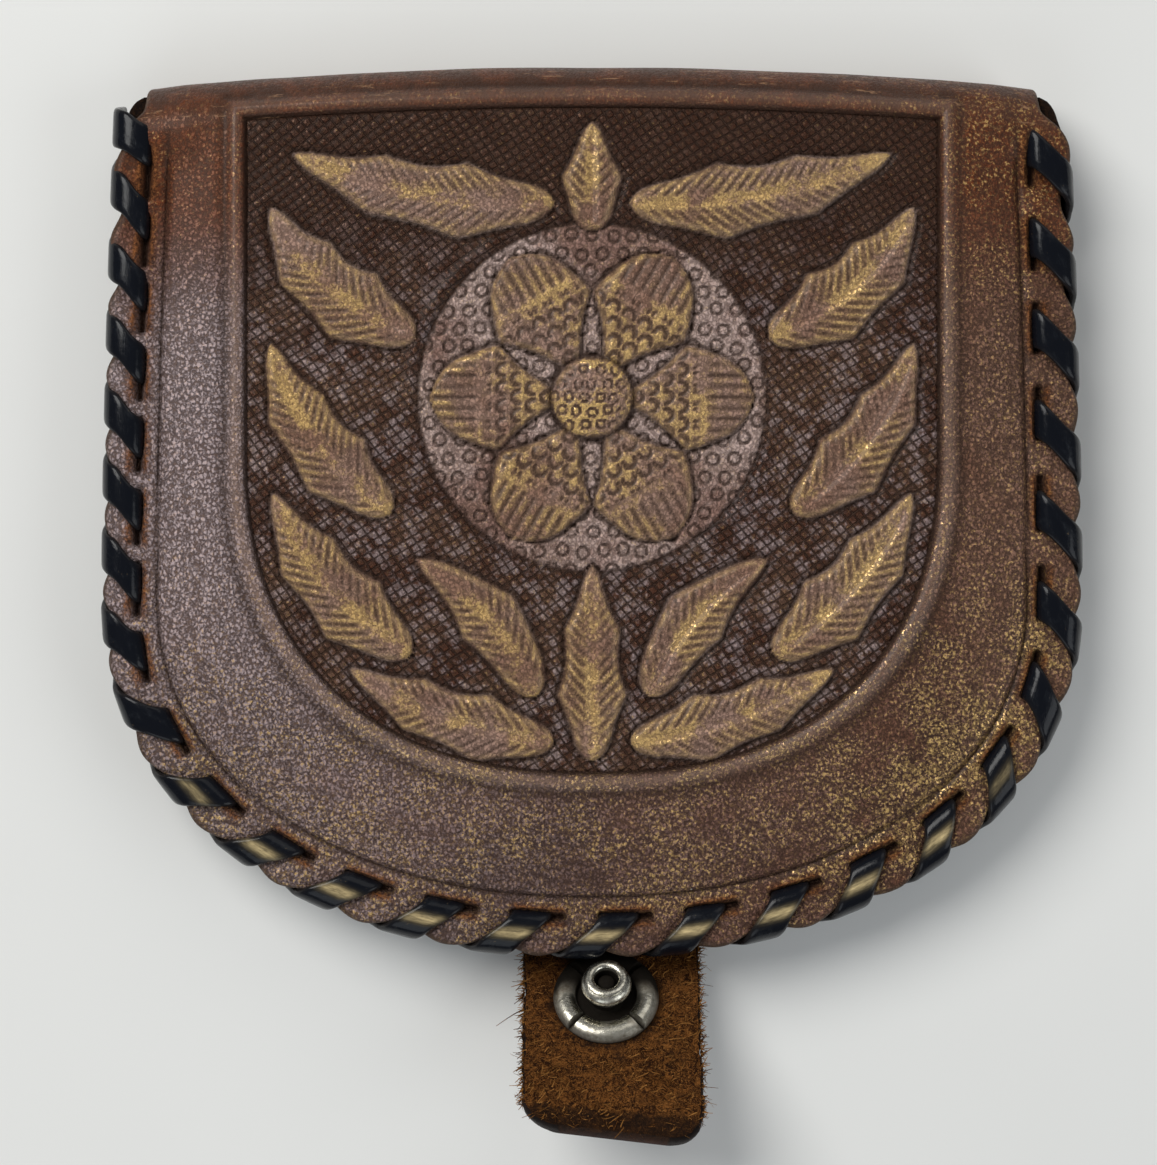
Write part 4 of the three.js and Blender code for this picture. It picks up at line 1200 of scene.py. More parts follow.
def build_hide(material):
    """The tooled panel's margin, the fold and the first of the flap, as one sheet."""
    outer, inner = hide_loops()
    rows = hide_rows()
    far_edge = np.arange(len(outer)) >= HIDE_SLICES

    def place(column, row):
        column = column % len(outer)
        zone, amount, face = rows[row % len(rows)].T
        start, way = outer[column], inner[column] - outer[column]
        reach = np.linalg.norm(way, axis=1)
        way = way / reach[:, None]
        middle = lerp(MARGIN_ZONE, reach - BEAD_ZONE, amount)
        dist = np.select([zone == 0, zone == 1], [amount, middle], reach - amount)
        flat = start + way * dist[:, None]
        fold_side = np.where(far_edge[column], 0.0, 1.0)
        z, values, wave = hide_top(flat[:, 0], flat[:, 1], dist, fold_side)
        scallop = (0.78 - 1.1 * wave) * (1 - smooth((flat[:, 1] - 50.75) / LACING_FADE))
        ragged = wobble(flat, 2.6, 3) * 0.12 * fold_side
        out = (scallop + ragged) * scalloped(dist) * fold_side
        flat = flat - way * out[:, None]
        low_edge = np.clip(1 - dist / EDGE_ROUND, 0, 1) * fold_side
        fold = fold_share(flat[:, 1])
        rise = smooth((dist - 4) / 6)
        low = lerp(FLANGE_TOP + 0.75 * rise, 2 * FOLD_Z - 0.1, fold) - HIDE
        low += 0.5 * (1 - np.sqrt(1 - low_edge**2)) + 0.1 * wave * (1 - smooth((dist - 3) / 2))
        z = np.where(face > 0.5, z + wobble(flat, 7.0, 5) * 0.07 * smooth(dist / 5), low)
        values["grain_at"] = np.column_stack([flat, z])
        return bend(flat[:, 0], flat[:, 1], z), values

    mesh = grid_mesh("hide_margin_and_fold", len(outer), len(rows), place)
    piece = closed_piece("hide_margin_and_fold", mesh, material, 60)
    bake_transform(piece)
    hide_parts("back_panel", "flap_fold")
    return piece


def build_field(material, fineness):
    """The tooled field, a plate whose edge lies under the bead."""
    columns, top_rows, low_rows = fineness, round(fineness * 0.5), round(fineness * 0.46)
    rows = top_rows + low_rows
    half, top = FIELD_HALF_WIDTH + FIELD_MARGIN, FIELD_TOP_Y + FIELD_MARGIN
    arc_depth = FIELD_ARC_DEPTH + FIELD_MARGIN

    def place(column, row):
        u = column / columns * 2 - 1
        straight = row >= low_rows
        y_top = lerp(FIELD_ARC_Y, top, (row - low_rows) / top_rows)
        v = np.clip((low_rows - row) / low_rows, 0, 1)
        disc_x, disc_y = u * np.sqrt(1 - v * v / 2), v * np.sqrt(1 - u * u / 2)
        radius = np.maximum(np.hypot(disc_x, disc_y), 1e-9)
        power = FIELD_POWER
        total = np.abs(disc_x / radius) ** power + (disc_y / radius) ** power
        swell = np.maximum(total, 1e-9) ** (-1 / power)
        x = np.where(straight, u, disc_x * swell) * half
        y = np.where(straight, y_top, FIELD_ARC_Y - disc_y * swell * arc_depth)
        height, values = tooling(x, y)
        depth = field_depth(x, y)
        inside = smooth((depth - 0.15) / 0.5)
        tuck = 0.9 * (1 - smooth((depth + 0.2) / 0.55))
        z = MARGIN_TOP + crown(x, y) - FIELD_SINK + height * inside - tuck
        z = z + wobble(np.column_stack([x, y]), 6.0, 8) * 0.06
        z = z + fold_share(y) * (FOLD_TOP_Z - MARGIN_TOP)
        # Shade is painted along the field's edge, where it tucks under the bead.
        values["cut"] = np.maximum(values["cut"], 1 - smooth((depth - 0.1) / 0.45))
        values["grain_at"] = np.column_stack([x, y, z])
        return bend(x, y, z), values

    mesh = grid_mesh("tooled_field", columns, rows, place)
    bm = bmesh.new()
    bm.from_mesh(mesh)
    rim = [edge for edge in bm.edges if edge.is_boundary]
    walls = bmesh.ops.extrude_edge_only(bm, edges=rim)["geom"]
    for vert in (part for part in walls if isinstance(part, bmesh.types.BMVert)):
        vert.co.z = min(vert.co.z - 0.2 * MM, FIELD_BOTTOM_Z * MM)
    bm.to_mesh(mesh)
    bm.free()
    piece = closed_piece("tooled_field", mesh, material, 70)
    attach(piece, "pouch")
    return piece


def build_pocket(material):
    """The front panel, a shallow bowl with a flat laced border."""
    insets = np.array([*POCKET_INSETS, RIM_HALF_WIDTH])
    count = len(insets)

    def place(column, row):
        upper = row < count
        ring = np.where(upper, count - 1 - row, row - count) % count
        inset = insets[ring]
        along = column / POCKET_SLICES * RIM.length
        x, y = RIM.place(along, np.minimum(inset, POCKET_BORDER))
        top_y = np.where(inset < POCKET_EAR_WIDTH, POCKET_EAR_Y - inset / 2, MOUTH_Y)
        side_x = np.abs(x)
        squeeze = np.minimum(1, (top_y - RIM_ARC_Y) / (LACE_TOP_Y - RIM_ARC_Y))
        y = np.where(y > RIM_ARC_Y, RIM_ARC_Y + (y - RIM_ARC_Y) * squeeze, y)
        inner = np.clip((inset - POCKET_BORDER) / (RIM_HALF_WIDTH - POCKET_BORDER), 0, 1)
        corner = np.clip((y - POCKET_EAR_Y + 3) / 3, 0, 1)
        round_off = 2.2 * (1 - np.sqrt(1 - corner**2))
        side_x = side_x - np.where(inset < POCKET_EAR_WIDTH, round_off, 0)
        x = np.sign(x) * side_x * (1 - inner)
        y = lerp(y, np.maximum(y, RIM_ARC_Y), inner)
        wave, slit, _ = stitch_marks(along, inset)
        out = (0.75 - 1.05 * wave) * scalloped(inset) * (1 - smooth((y - 48) / 3))
        ex, ey = RIM.place(along, 0.0)
        ix, iy = RIM.place(along, 1.0)
        x, y = x - (ix - ex) * out, y - (iy - ey) * out
        sink = smooth((inset - FLANGE_WIDTH) / (POCKET_RAMP * 1.25))
        seat = smooth((SOCKET_Y + SEAT_START - y) / (SEAT_START - SEAT_END))
        low = POCKET_TOP - HIDE - sink * (POCKET_DEPTH - SOCKET_SEAT_RISE * seat)
        rounding = np.clip(1 - inset / EDGE_ROUND, 0, 1)
        edge = 0.7 * (1 - np.sqrt(1 - rounding**2))
        puff = puffed(inset) * (0.16 - 0.3 * wave)
        bottom = low + edge - puff * (1 - sink) + 1.2 * slit
        z = np.where(upper, low + HIDE - edge, bottom)
        flat = np.column_stack([x, y, z])
        values = {
            "grain_at": flat,
            # Dark at the cut edge, and darker over the whole top from y 47 up, under the fold.
            "edge": np.clip(1 - smooth((inset - 0.1) / 0.5) + smooth((y - 47) / 2), 0, 1),
            "slit": slit,
            "suede": np.where(upper, 1.0, 0.0),
        }
        return flat, values

    mesh = grid_mesh("pocket_panel", POCKET_SLICES, 2 * count - 1, place)
    piece = closed_piece("pocket_panel", mesh, material, 60)
    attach(piece, "pouch")
    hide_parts("front_panel")
    return piece


def lace_route():
    """Points of the lace's middle: along the rim, inside it, and height."""
    middle = (LACE_TOP_Z + LACE_BOTTOM_Z) / 2
    points = []
    for k in range(STITCHES):
        hole, following = INSETS[k], INSETS[k + 1]
        step = [
            (0, hole, LACE_BOTTOM_Z + LACE_TURN),
            (0, hole + 0.05, LACE_TOP_Z - 1.0),
            (0.04, hole - 0.35, LACE_TOP_Z - 0.12),
            (0.14, hole * 0.62, LACE_TOP_Z + 0.1),
            (0.3, 0.75, LACE_TOP_Z + 0.02),
            (0.38, -0.1, LACE_TOP_Z - 0.5),
            (0.45, -LACE_OUTSIDE, LACE_TOP_Z - 1.5),
            (0.53, -LACE_OUTSIDE, middle),
            (0.62, 0.1 - LACE_OUTSIDE, LACE_BOTTOM_Z + 0.8),
            (0.7, LACE_TURN, LACE_BOTTOM_Z),
            (0.95, following - LACE_TURN, LACE_BOTTOM_Z),
        ]
        pitch = PITCHES[k] * (LAST_SHARE if k == STITCHES - 1 else 1)
        points += [(STITCH_AT[k] + share * pitch, inset, z) for share, inset, z in step]
    return np.array(points[:-2])


def smooth_line(points, steps):
    """A smooth curve through the points, with that many steps between each two."""
    padded = np.concatenate([points[:1], points, points[-1:]])
    made = []
    for k in range(len(points) - 1):
        a, b, c, d = padded[k : k + 4]
        for t in np.arange(steps) / steps:
            square = (2 * a - 5 * b + 4 * c - d) * t**2
            cube = (3 * b - a - 3 * c + d) * t**3
            made.append(0.5 * (2 * b + (c - a) * t + square + cube))
    return np.array(made + [points[-1]])


def build_lace(material, settings):
    """One flat lace, whipped through the slits and over the edge."""
    line = smooth_line(lace_route(), 5)
    flat = np.gradient(line[:, 1:], axis=0)
    flat /= np.linalg.norm(flat, axis=1)[:, None]
    normals = np.column_stack([-flat[:, 1], flat[:, 0]])
    angles = np.linspace(0, 2 * math.pi, LACE_SIDES + 1)[:-1]
    half, thick = settings.lace_width * LACE_SLANT / 2 / MM, settings.lace_thickness / 2 / MM
    side = half * np.sign(np.cos(angles)) * np.abs(np.cos(angles)) ** 0.38
    face = thick * np.sign(np.sin(angles)) * np.abs(np.sin(angles)) ** 0.62
    travelled = lengths_along(line)

    def place(column, row):
        column = column % len(angles)
        along, inset, z = line[row].T
        cup = 1 + 0.12 * (side[column] / half) ** 2
        reach = face[column] * cup
        x, y = RIM.place(along, inset + normals[row][:, 0] * reach)
        tx = np.interp(along, RIM.along, RIM.tangents[:, 0])
        ty = np.interp(along, RIM.along, RIM.tangents[:, 1])
        waver = wobble(np.column_stack([along, inset, z]), 5.0, 11) * 0.18
        points = np.column_stack(
            [
                x + tx * (side[column] + waver),
                y + ty * (side[column] + waver),
                z + normals[row][:, 1] * reach + waver * 0.3,
            ]
        )
        along_lace = np.column_stack([side[column], travelled[row], face[column]])
        wear = np.abs(side[column] / half) ** 8
        # Where a warm highlight is painted: the middle of the strands' tops along the lower edge.
        on_top = smooth((z - LACE_TOP_Z + 0.6) / 0.3) * smooth((-14 - y) / 12)
        rub = on_top * bell((inset - 1.6) / 0.42) * bell(side[column] / (half * 0.62))
        return points, {"grain_at": along_lace, "wear": wear, "rub": rub}

    mesh = grid_mesh("whipstitch_lace", len(angles), len(line) - 1, place)
    piece = closed_piece("whipstitch_lace", mesh, material, 60)
    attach(piece, "pouch")
    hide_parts("edge_lace")
    return piece


FLAT_LENGTH = FLAP_START_Y - TAB_BEND_Y
BEND_LENGTH = TAB_BEND_RADIUS * TAB_TILT
FLAP_LENGTH = FLAT_LENGTH + BEND_LENGTH + TAB_LENGTH
STUD_ALONG = FLAT_LENGTH + BEND_LENGTH + STUD_ALONG_TAB


def flap_line(along):
    """Y, Z and tilt of the flap's middle line at a distance from the fold."""
    on_bend = np.clip(along - FLAT_LENGTH, 0, BEND_LENGTH)
    tilt = on_bend / TAB_BEND_RADIUS
    past = np.maximum(0, along - FLAT_LENGTH - BEND_LENGTH)
    y = FLAP_START_Y - np.minimum(along, FLAT_LENGTH)
    y = y - TAB_BEND_RADIUS * np.sin(tilt) - past * np.cos(tilt)
    z = HIDE / 2 + TAB_BEND_RADIUS * (1 - np.cos(tilt)) + past * np.sin(tilt)
    return y, z, tilt


def flap_half_width(along):
    """Half the flap's width, from the fold past its shoulders to the end of the tab."""
    y = flap_line(along)[0]
    drop = np.clip((RIM_ARC_Y - y) / (RIM_ARC_DEPTH - FLAP_INSET), 0, 1)
    wide = FLAP_HALF_WIDTH * (1 - drop**RIM_POWER) ** (1 / RIM_POWER)
    shoulder = FLAP_START_Y - FLAP_SHOULDER_Y
    corner = np.clip((along - (FLAP_LENGTH - TAB_CORNER)) / TAB_CORNER, 0, 1)
    tab = TAB_HALF_WIDTH - TAB_CORNER * (1 - np.sqrt(1 - corner**2))
    flare = np.clip(1 - (along - shoulder) / (SHOULDER_LENGTH / 2), 0, 1)
    return np.where(along <= shoulder, wide, tab + SHOULDER_FLARE * flare**2)


def flap_point(side, along, height):
    """A point of the flap: its place across from -1 to 1, along, and above the middle line."""
    half = flap_half_width(along)
    shoulder = FLAP_START_Y - FLAP_SHOULDER_Y
    x = TAB_SHIFT * smooth((along - shoulder) / SHOULDER_LENGTH) + side * half
    ring_end = STUD_ALONG + STUD_RING_RADIUS
    past = np.clip((along - ring_end) / (FLAP_LENGTH - ring_end), 0, 1)
    y, z, tilt = flap_line(along + (x - TAB_SHIFT) * TAB_END_SLANT * past)
    return np.column_stack([x, y + height * np.sin(tilt), z + height * np.cos(tilt)])


def build_flap(material):
    """The flap under the pocket and the tab at its end, raw suede inside."""
    tab_start = FLAT_LENGTH - 4
    flap_rows, tab_rows, corner_rows = FLAP_ROWS
    alongs = np.concatenate(
        [
            np.linspace(0, tab_start, flap_rows)[:-1],
            np.linspace(tab_start, FLAP_LENGTH - TAB_CORNER, tab_rows)[:-1],
            FLAP_LENGTH - TAB_CORNER * (1 - np.sin(np.linspace(0, math.pi / 2, corner_rows))),
        ]
    )
    top = np.linspace(-1, 1, FLAP_TOP_POINTS)
    under = np.linspace(1, -1, FLAP_UNDER_POINTS)
    corners = np.radians([60, 30, 0, -30, -60])
    sections = [(s, 1.0, 0.0) for s in top] + [(1, math.sin(a), math.cos(a)) for a in corners]
    sections += [(s, -1.0, 0.0) for s in under]
    sections += [(-1, -math.sin(a), math.cos(a)) for a in corners]
    sections = np.array(sections)

    def place(column, row):
        side, face, bulge = sections[column % len(sections)].T
        along = alongs[row]
        half = np.maximum(flap_half_width(along), 0.01)
        on_tab = smooth((along - tab_start) / 6)
        flat_x = side * half
        rough = wobble(np.column_stack([flat_x, along, face]), 0.9, 21)
        coarse = wobble(np.column_stack([flat_x, along, face * 0.3]), 3.2, 22)
        suede = smooth(face * 1.2 + 0.4)
        trimmed = side * (1 - 0.45 * (1 - bulge) / half * (np.abs(side) > 0.999))
        frayed = on_tab * (0.22 * rough + 0.3 * coarse) * smooth(np.abs(side) * 12 - 11)
        height = face * HIDE / 2 + on_tab * suede * (0.1 * rough + 0.14 * coarse)
        points = flap_point(trimmed + np.sign(side) * frayed / half, along, height)
        # The tab darkens towards its end, and shadow is painted where the pouch's rim overhangs it
        # and round the stud's ring.
        end = smooth((along - FLAP_LENGTH + 4.2) / 3.0)
        rim_shade = smooth((points[:, 1] + 36.9) / 4) * on_tab
        ring = np.hypot(points[:, 0] - STUD_X, along - STUD_ALONG)
        shadow_and_end = 0.55 * bell((ring - STUD_RING_RADIUS) / 1.3) + 0.75 * end + 0.5 * rim_shade
        values = {
            "grain_at": np.column_stack([flat_x, -along, face]),
            "suede": suede,
            "edge": np.where(np.abs(face) < 0.9, 1.0, 0.0),
            "shadow_and_dark_end": np.clip(shadow_and_end, 0, 1),
        }
        return points, values

    mesh = grid_mesh("flap_and_tab", len(sections), len(alongs) - 1, place)
    piece = closed_piece("flap_and_tab", mesh, material, 60)
    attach(piece, "flap")
    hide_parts("flap")
    return piece


def build_fibres(material, count):
    """Loose fibres that stand off the raw suede and the frayed sides of the tab."""
    random = np.random.default_rng(7)
    bm = bmesh.new()
    up = np.array([0, math.sin(TAB_TILT), math.cos(TAB_TILT)])
    down = np.array([0, -math.cos(TAB_TILT), math.sin(TAB_TILT)])
    across = np.array([1.0, 0, 0])
    tones = []
    for k in range(count):
        on_side = k % 3 == 0
        side = random.choice([-1, 1]) if on_side else random.uniform(-0.99, 0.99)
        along = random.uniform(FLAT_LENGTH + 2, FLAP_LENGTH - (2.5 if on_side else 0.2))
        ring = math.hypot(side * TAB_HALF_WIDTH + TAB_SHIFT - STUD_X, along - STUD_ALONG)
        if ring < STUD_RING_RADIUS + 0.6:
            continue
        long_one = LONG_FIBRE if k % LONG_FIBRE_EVERY == 0 else 1
        length = random.uniform(*FIBRE_LENGTHS) * (0.7 if on_side else 1) * long_one
        height = random.uniform(-0.6, 0.85) if on_side else HIDE / 2 - 0.05
        start = flap_point(np.array([side * 0.995]), np.array([along]), height)[0]
        turn = random.uniform(-1.3, 1.3) + (0 if side > 0 else math.pi)
        turn = turn if on_side else random.uniform(0, 2 * math.pi)
        rise = random.uniform(0.1, 0.55)
        way = across * math.cos(turn) + down * math.sin(turn) + up * rise
        bent = across * random.normal(0, 0.8) + down * random.normal(0, 0.8) - up * rise * 0.9
        made = bmesh.ops.create_grid(bm, x_segments=3, y_segments=4, size=0.5)["verts"]
        tones += [random.uniform(0, 1)] * len(made)
        for vert in made:
            angle = (vert.co.x + 0.5) * 2 * math.pi
            t = vert.co.y + 0.5
            middle = start + (way * t + bent * t * t) * length
            radius = FIBRE_RADIUS * (1 - 0.6 * t)
            ring_way = up * math.sin(angle) + (across + down) * 0.7 * math.cos(angle)
            vert.co = Vector((middle + ring_way * radius) * MM)
    mesh = bpy.data.meshes.new("tab_fibres")
    bm.to_mesh(mesh)
    bm.free()
    places = np.array([vert.co for vert in mesh.vertices], float) / MM
    ones = np.ones(len(places))
    keep_values(mesh, {"grain_at": places, "suede": ones, "tone": np.array(tones)})
    piece = closed_piece("tab_fibres", mesh, material)
    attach(piece, "flap")
    return piece


def stud_place():
    """The stud's place: its own +Z square to the tab."""
    y, z, tilt = (float(part) for part in flap_line(STUD_ALONG))
    reach = HIDE / 2 + GAP / 2
    lift = Vector((STUD_X, y + reach * math.sin(tilt), z + reach * math.cos(tilt))) * MM
    return Matrix.Translation(lift) @ Matrix.Rotation(-tilt, 4, "X")


def stud_profile():
    """Radii and heights of the stud, from its hollow out and up over the ring and the knob."""
    ring_middle = (STUD_RING_BORE + STUD_RING_RADIUS) / 2
    ring_half = (STUD_RING_RADIUS - STUD_RING_BORE) / 2
    flat = [(STUD_HOLLOW_RADIUS, 0), (STUD_RING_RADIUS - 0.3, 0)]
    ring = arc((ring_middle, 0.35), (ring_half, STUD_RING_HEIGHT - 0.35), -15, 180, 22)
    neck = [(STUD_NECK_RADIUS + 0.25, 0.32), (STUD_NECK_RADIUS + 0.05, 0.5), (STUD_NECK_RADIUS, 1.0)]
    neck += [(STUD_NECK_RADIUS, 1.5), (STUD_NECK_RADIUS + 0.12, 1.85)]
    knob = arc((STUD_KNOB_RADIUS - 0.95, 2.95), (0.95, 0.95), -60, 62, 14)
    rim = arc((STUD_KNOB_RADIUS - 0.85, STUD_HEIGHT - 0.42), (0.55, 0.42), 40, 160, 10)
    inside = [(STUD_HOLLOW_RADIUS + 0.08, STUD_HEIGHT - 0.9), (STUD_HOLLOW_RADIUS, STUD_HEIGHT - 1.4)]
    return flat + ring + neck + knob + rim + inside + [(STUD_HOLLOW_RADIUS, 0)]


def slit_ring(points):
    """Presses the four slits into the stud's ring and marks where shade is painted, with some
    tarnish: in the slits, the gap round the neck, the ring's foot, rim and upper half and the hollow
    inside.
    """
    radius = np.hypot(points[:, 0], points[:, 1])
    angle = np.arctan2(points[:, 1], points[:, 0])
    aside = np.abs(radius * np.sin(angle % (math.pi / 2) - math.pi / 4))
    on_ring = (radius > STUD_RING_BORE - 0.1) & (points[:, 2] > 0.4) & (points[:, 2] < 2)
    slit = np.where(on_ring, 1 - smooth((aside - 0.12) / 0.14), 0)
    points[:, 2] = np.where(on_ring, lerp(points[:, 2], 0.4, slit), points[:, 2])
    # Painted shadow and dark reflection of the pouch on the ring's upper half.
    upper = smooth((points[:, 1] + 0.8) / 2.6)
    # Painted shade in the gap round the neck, at the ring's foot and rim, and in the hollow inside.
    gap = 1.2 * (radius < 3.35) * (points[:, 2] < 1.25)
    low = (1 - smooth(points[:, 2] / 0.5)) * (radius > 3)
    low = low + upper * (radius > 3.3) + 0.5 * bell((radius - 5.4) / 0.3)
    inner = (radius < STUD_HOLLOW_RADIUS + 0.2) & (points[:, 2] < STUD_HEIGHT - 0.3)
    return points, np.clip(slit + gap + low + inner, 0, 1)


def shaded_tip(points):
    """Paints shade on the post's tip, which lies inside the stud."""
    return points, np.where(points[:, 2] > 1, 1.0, 0.0)


def build_snap(material):
    """The stud and its capped post on the tab, and the socket and its spring on the pocket."""
    stud = turned_piece("snap_stud", stud_profile(), 160, material, slit_ring)
    stud.data.transform(stud_place())
    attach(stud, "flap")
    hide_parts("stud")
    cap = [(0, -CAP_THICKNESS)] + arc((CAP_RADIUS - 0.8, -0.3), (0.8, 0.5), -90, 0, 8)
    cap += [(CAP_RADIUS, 0), (POST_RADIUS, 0)]
    post_top = HIDE + 2 * GAP + STUD_HEIGHT - 1.3
    tip = arc((0, post_top), (POST_RADIUS, 0.4), 0, 90, 6)
    post = turned_piece("snap_post", cap + tip, 72, material, shaded_tip)
    down = Matrix.Translation((0, 0, -(HIDE + 1.5 * GAP) * MM))
    post.data.transform(stud_place() @ down)
    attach(post, "flap")
    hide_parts("stud_post")
    groove = SPRING_RADIUS + SPRING_WIRE + 0.15
    shell = [(POST_RADIUS + GAP, 0), (SOCKET_RADIUS, 0)]
    shell += arc((SOCKET_RADIUS - 1.1, 0.3), (1.1, SOCKET_HEIGHT - 0.3), 0, 90, 12)
    shell += arc((SOCKET_BORE + 0.3, SOCKET_HEIGHT - 0.25), (0.3, 0.25), 90, 180, 6)
    shell += [(SOCKET_BORE, 1.2), (groove, 1.1), (groove, 0.35), (POST_RADIUS + GAP, 0.35)]
    socket = turned_piece("snap_socket", shell + [shell[0]], 96, material)
    turn = Matrix.Rotation(math.pi, 4, "X")
    lift = Matrix.Translation(Vector((STUD_X, SOCKET_Y, SOCKET_Z - GAP)) * MM)
    socket.data.transform(lift @ turn)
    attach(socket, "pouch")
    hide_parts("socket")
    for name in ("socket_spring", "socket_cap"):
        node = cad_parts[name]
        node.data.materials.clear()
        node.data.materials.append(material)


# Stage


FLOOR_SHADE = (0.725, 0.725, 0.705)
FLOOR_PALE = (0.785, 0.787, 0.77)
FLOOR_HALF_SIZE = 1.5
SKY = (0.93, 0.95, 1.0, 1)
LAMPS = [  # name, place and size in metres, share of the power, colour
    ("key_lamp", (-0.36, 0.34, 0.6), 0.5, 1, (1.0, 0.99, 0.965)),
    ("right_lamp", (0.62, -0.25, 0.5), 0.6, 0.38, (0.93, 0.97, 1.0)),
    ("near_lamp", (-0.2, -0.65, 0.5), 0.6, 0.26, (0.88, 0.95, 1.0)),
    ("far_lamp", (0.3, 0.65, 0.5), 0.6, 0.16, (1.0, 0.98, 0.94)),
]


def build_stage(settings):
    """A pale floor, four soft lamps, a dim room and the camera of the photo."""
    paint = Paint("pale_floor", Specular_IOR_Level=0.2)
    place = paint.object_place()
    mottle = paint.noise(place, 60.0, 3.0)
    pale = paint.mix(mottle, FLOOR_SHADE, FLOOR_PALE)
    material = paint.finish(Base_Color=pale, Roughness=0.9 + mottle * 0.05)
    bm = bmesh.new()
    bmesh.ops.create_grid(bm, x_segments=8, y_segments=8, size=FLOOR_HALF_SIZE)
    mesh = bpy.data.meshes.new("floor")
    bm.to_mesh(mesh)
    bm.free()
    floor = bpy.data.objects.new("floor", mesh)
    floor.data.materials.append(material)
    bpy.context.scene.collection.objects.link(floor)
    for name, spot, size, share, tint in LAMPS:
        data = bpy.data.lights.new(name, "AREA")
        data.shape, data.size, data.color = "DISK", size, tint
        data.energy = settings.lamp_power * share
        lamp = bpy.data.objects.new(name, data)
        lamp.location = spot
        lamp.rotation_euler = Vector(spot).to_track_quat("Z", "Y").to_euler()
        bpy.context.scene.collection.objects.link(lamp)
    world = bpy.data.worlds.new("soft_room")
    world.use_nodes = True
    sky = world.node_tree.nodes["Background"]
    sky.inputs["Color"].default_value = SKY
    sky.inputs["Strength"].default_value = settings.room_light
    bpy.context.scene.world = world
    camera_data = bpy.data.cameras.new("camera")
    camera_data.lens, camera_data.sensor_width = CAMERA_LENS, CAMERA_SENSOR
    camera_data.clip_start = 0.01
    camera = bpy.data.objects.new("camera", camera_data)
    camera.location = (CAMERA_X * MM, CAMERA_Y * MM, CAMERA_Z * MM)
    bpy.context.scene.collection.objects.link(camera)
    bpy.context.scene.camera = camera
    bpy.context.scene.view_settings.view_transform = "Standard"


# Settings, operators and panel


def colour(name, description, default):
    """A colour that a user can change."""
    return FloatVectorProperty(
        name=name, description=description, subtype="COLOR", size=3, min=0, max=1, default=default
    )


class PurseSizes(bpy.types.PropertyGroup):
    """Sizes and amounts that a user can change"""

    lace_width: FloatProperty(
        name="Lace width", description="Width of the flat lace", unit="LENGTH", default=0.0032
    )
    lace_thickness: FloatProperty(
        name="Lace thickness", description="Thickness of the lace", unit="LENGTH", default=0.0009
    )
    fineness: IntProperty(
        name="Tooling fineness", description="Mesh cells across the tooled field", default=288
    )
    fibres: IntProperty(
        name="Fibres", description="Loose fibres on the suede of the tab", default=2600
    )
    lamp_power: FloatProperty(
        name="Lamp power", description="Power of the main lamp", unit="POWER", default=4.8
    )
    room_light: FloatProperty(
        name="Room light", description="Strength of the soft light all round", default=0.17
    )


class PurseColours(bpy.types.PropertyGroup):
    """Colours of the purse's finishes"""

    # Painted shade in the cuts, slits, hatch lines and grain pits, and darker specks on the smooth
    # side of the suede material.
    deep: colour("Deep brown", "Bottom of the cuts", (0.010, 0.0045, 0.0035))
    dark: colour("Dark brown", "Darker leather", (0.056, 0.018, 0.0095))
    mid: colour("Brown", "Lighter leather", (0.165, 0.072, 0.045))
    red: colour("Red brown", "Rubbed and burnished leather", (0.15, 0.03, 0.0045))
    # Wax bloom, and a painted sheen, on the flats of the margin and the field.
    bloom_and_sheen: colour("Bloom", "Greyish wax bloom on the flats", (0.46, 0.38, 0.395))
    # Painted highlights: the bronze glints on the grain's tops, partly bronze flecks of the finish.
    gold: colour("Bronze", "Bronze glints on what stands up", (0.78, 0.52, 0.19))
    suede: colour("Suede", "Raw inner side of the hide", (0.27, 0.10, 0.022))
    lace: colour("Lace", "Black plastic lace", (0.004, 0.005, 0.008))
    nickel: colour("Nickel", "Plating of the snap", (0.68, 0.65, 0.56))


class PURSE_OT_hide(bpy.types.Operator):
    """Build the tooled panel's margin and the fold"""

    bl_idname = "purse.hide"
    bl_label = "Hide and fold"
    bl_options = {"REGISTER", "UNDO"}

    def execute(self, context):
        build_hide(margin_leather(context.scene.purse_colours))
        return {"FINISHED"}


class PURSE_OT_field(bpy.types.Operator):
    """Build the tooled field with its leaves and flower"""

    bl_idname = "purse.field"
    bl_label = "Tooled field"
    bl_options = {"REGISTER", "UNDO"}

    def execute(self, context):
        material = tooled_leather(context.scene.purse_colours)
        build_field(material, context.scene.purse_sizes.fineness)
        return {"FINISHED"}


class PURSE_OT_pocket(bpy.types.Operator):
    """Build the plain front panel"""

    bl_idname = "purse.pocket"
    bl_label = "Pocket"
    bl_options = {"REGISTER", "UNDO"}

    def execute(self, context):
        build_pocket(suede_leather(context.scene.purse_colours))
        return {"FINISHED"}


class PURSE_OT_lace(bpy.types.Operator):
    """Build the lace round the edge"""

    bl_idname = "purse.lace"
    bl_label = "Lace"
    bl_options = {"REGISTER", "UNDO"}

    def execute(self, context):
        build_lace(lace_plastic(context.scene.purse_colours), context.scene.purse_sizes)
        return {"FINISHED"}


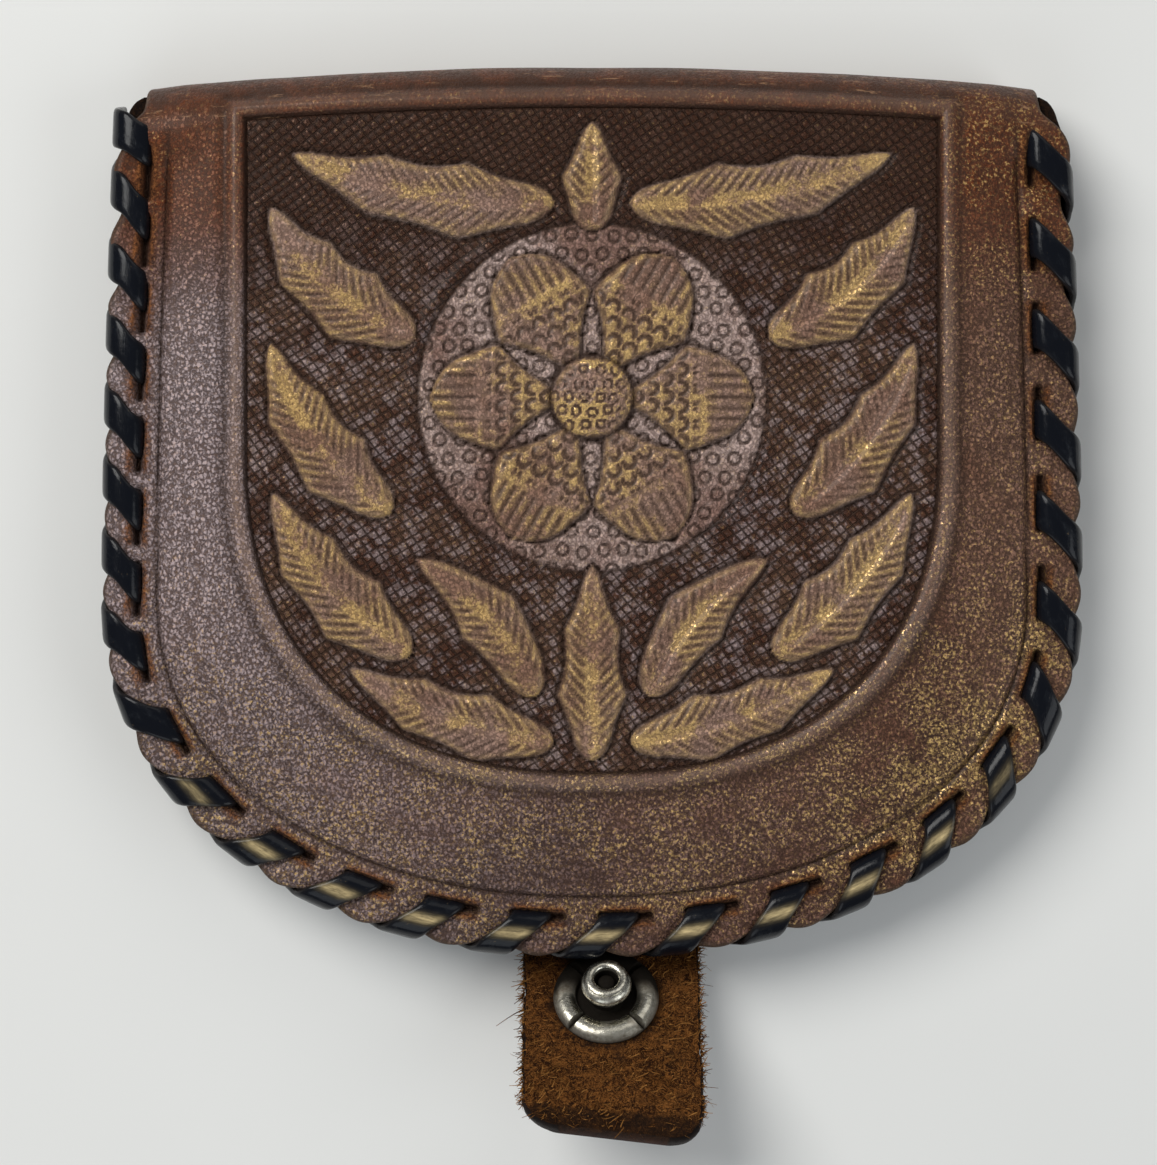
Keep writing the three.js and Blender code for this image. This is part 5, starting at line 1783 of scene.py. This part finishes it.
class PURSE_OT_flap(bpy.types.Operator):
    """Build the flap, its tab and the tab's fibres"""

    bl_idname = "purse.flap"
    bl_label = "Flap and tab"
    bl_options = {"REGISTER", "UNDO"}

    def execute(self, context):
        material = suede_leather(context.scene.purse_colours)
        build_flap(material)
        build_fibres(material, context.scene.purse_sizes.fibres)
        return {"FINISHED"}


class PURSE_OT_snap(bpy.types.Operator):
    """Build the snap's stud, post and socket"""

    bl_idname = "purse.snap"
    bl_label = "Snap"
    bl_options = {"REGISTER", "UNDO"}

    def execute(self, context):
        build_snap(plated_metal(context.scene.purse_colours))
        return {"FINISHED"}


class PURSE_OT_stage(bpy.types.Operator):
    """Make the floor, the lamps and the camera"""

    bl_idname = "purse.stage"
    bl_label = "Stage"
    bl_options = {"REGISTER", "UNDO"}

    def execute(self, context):
        build_stage(context.scene.purse_sizes)
        return {"FINISHED"}


OPERATORS = [
    PURSE_OT_stage,
    PURSE_OT_hide,
    PURSE_OT_field,
    PURSE_OT_pocket,
    PURSE_OT_lace,
    PURSE_OT_flap,
    PURSE_OT_snap,
]


class PURSE_PT_panel(bpy.types.Panel):
    """Lists the purse's sizes, colours and pieces"""

    bl_idname = "PURSE_PT_panel"
    bl_label = "Coin purse"
    bl_space_type = "VIEW_3D"
    bl_region_type = "UI"
    bl_category = "Purse"

    def draw(self, context):
        for group in (context.scene.purse_sizes, context.scene.purse_colours):
            for name in group.__annotations__:
                self.layout.prop(group, name)
        for operator in OPERATORS:
            self.layout.operator(operator.bl_idname)


CLASSES = [PurseSizes, PurseColours, *OPERATORS, PURSE_PT_panel]


def register():
    for made in CLASSES:
        bpy.utils.register_class(made)
    bpy.types.Scene.purse_sizes = PointerProperty(type=PurseSizes)
    bpy.types.Scene.purse_colours = PointerProperty(type=PurseColours)


def unregister():
    del bpy.types.Scene.purse_colours
    del bpy.types.Scene.purse_sizes
    for made in reversed(CLASSES):
        bpy.utils.unregister_class(made)


def main():
    """Builds the stage and every piece."""
    register()
    for operator in OPERATORS:
        group, name = operator.bl_idname.split(".")
        getattr(getattr(bpy.ops, group), name)()


if __name__ == "__main__":
    main()
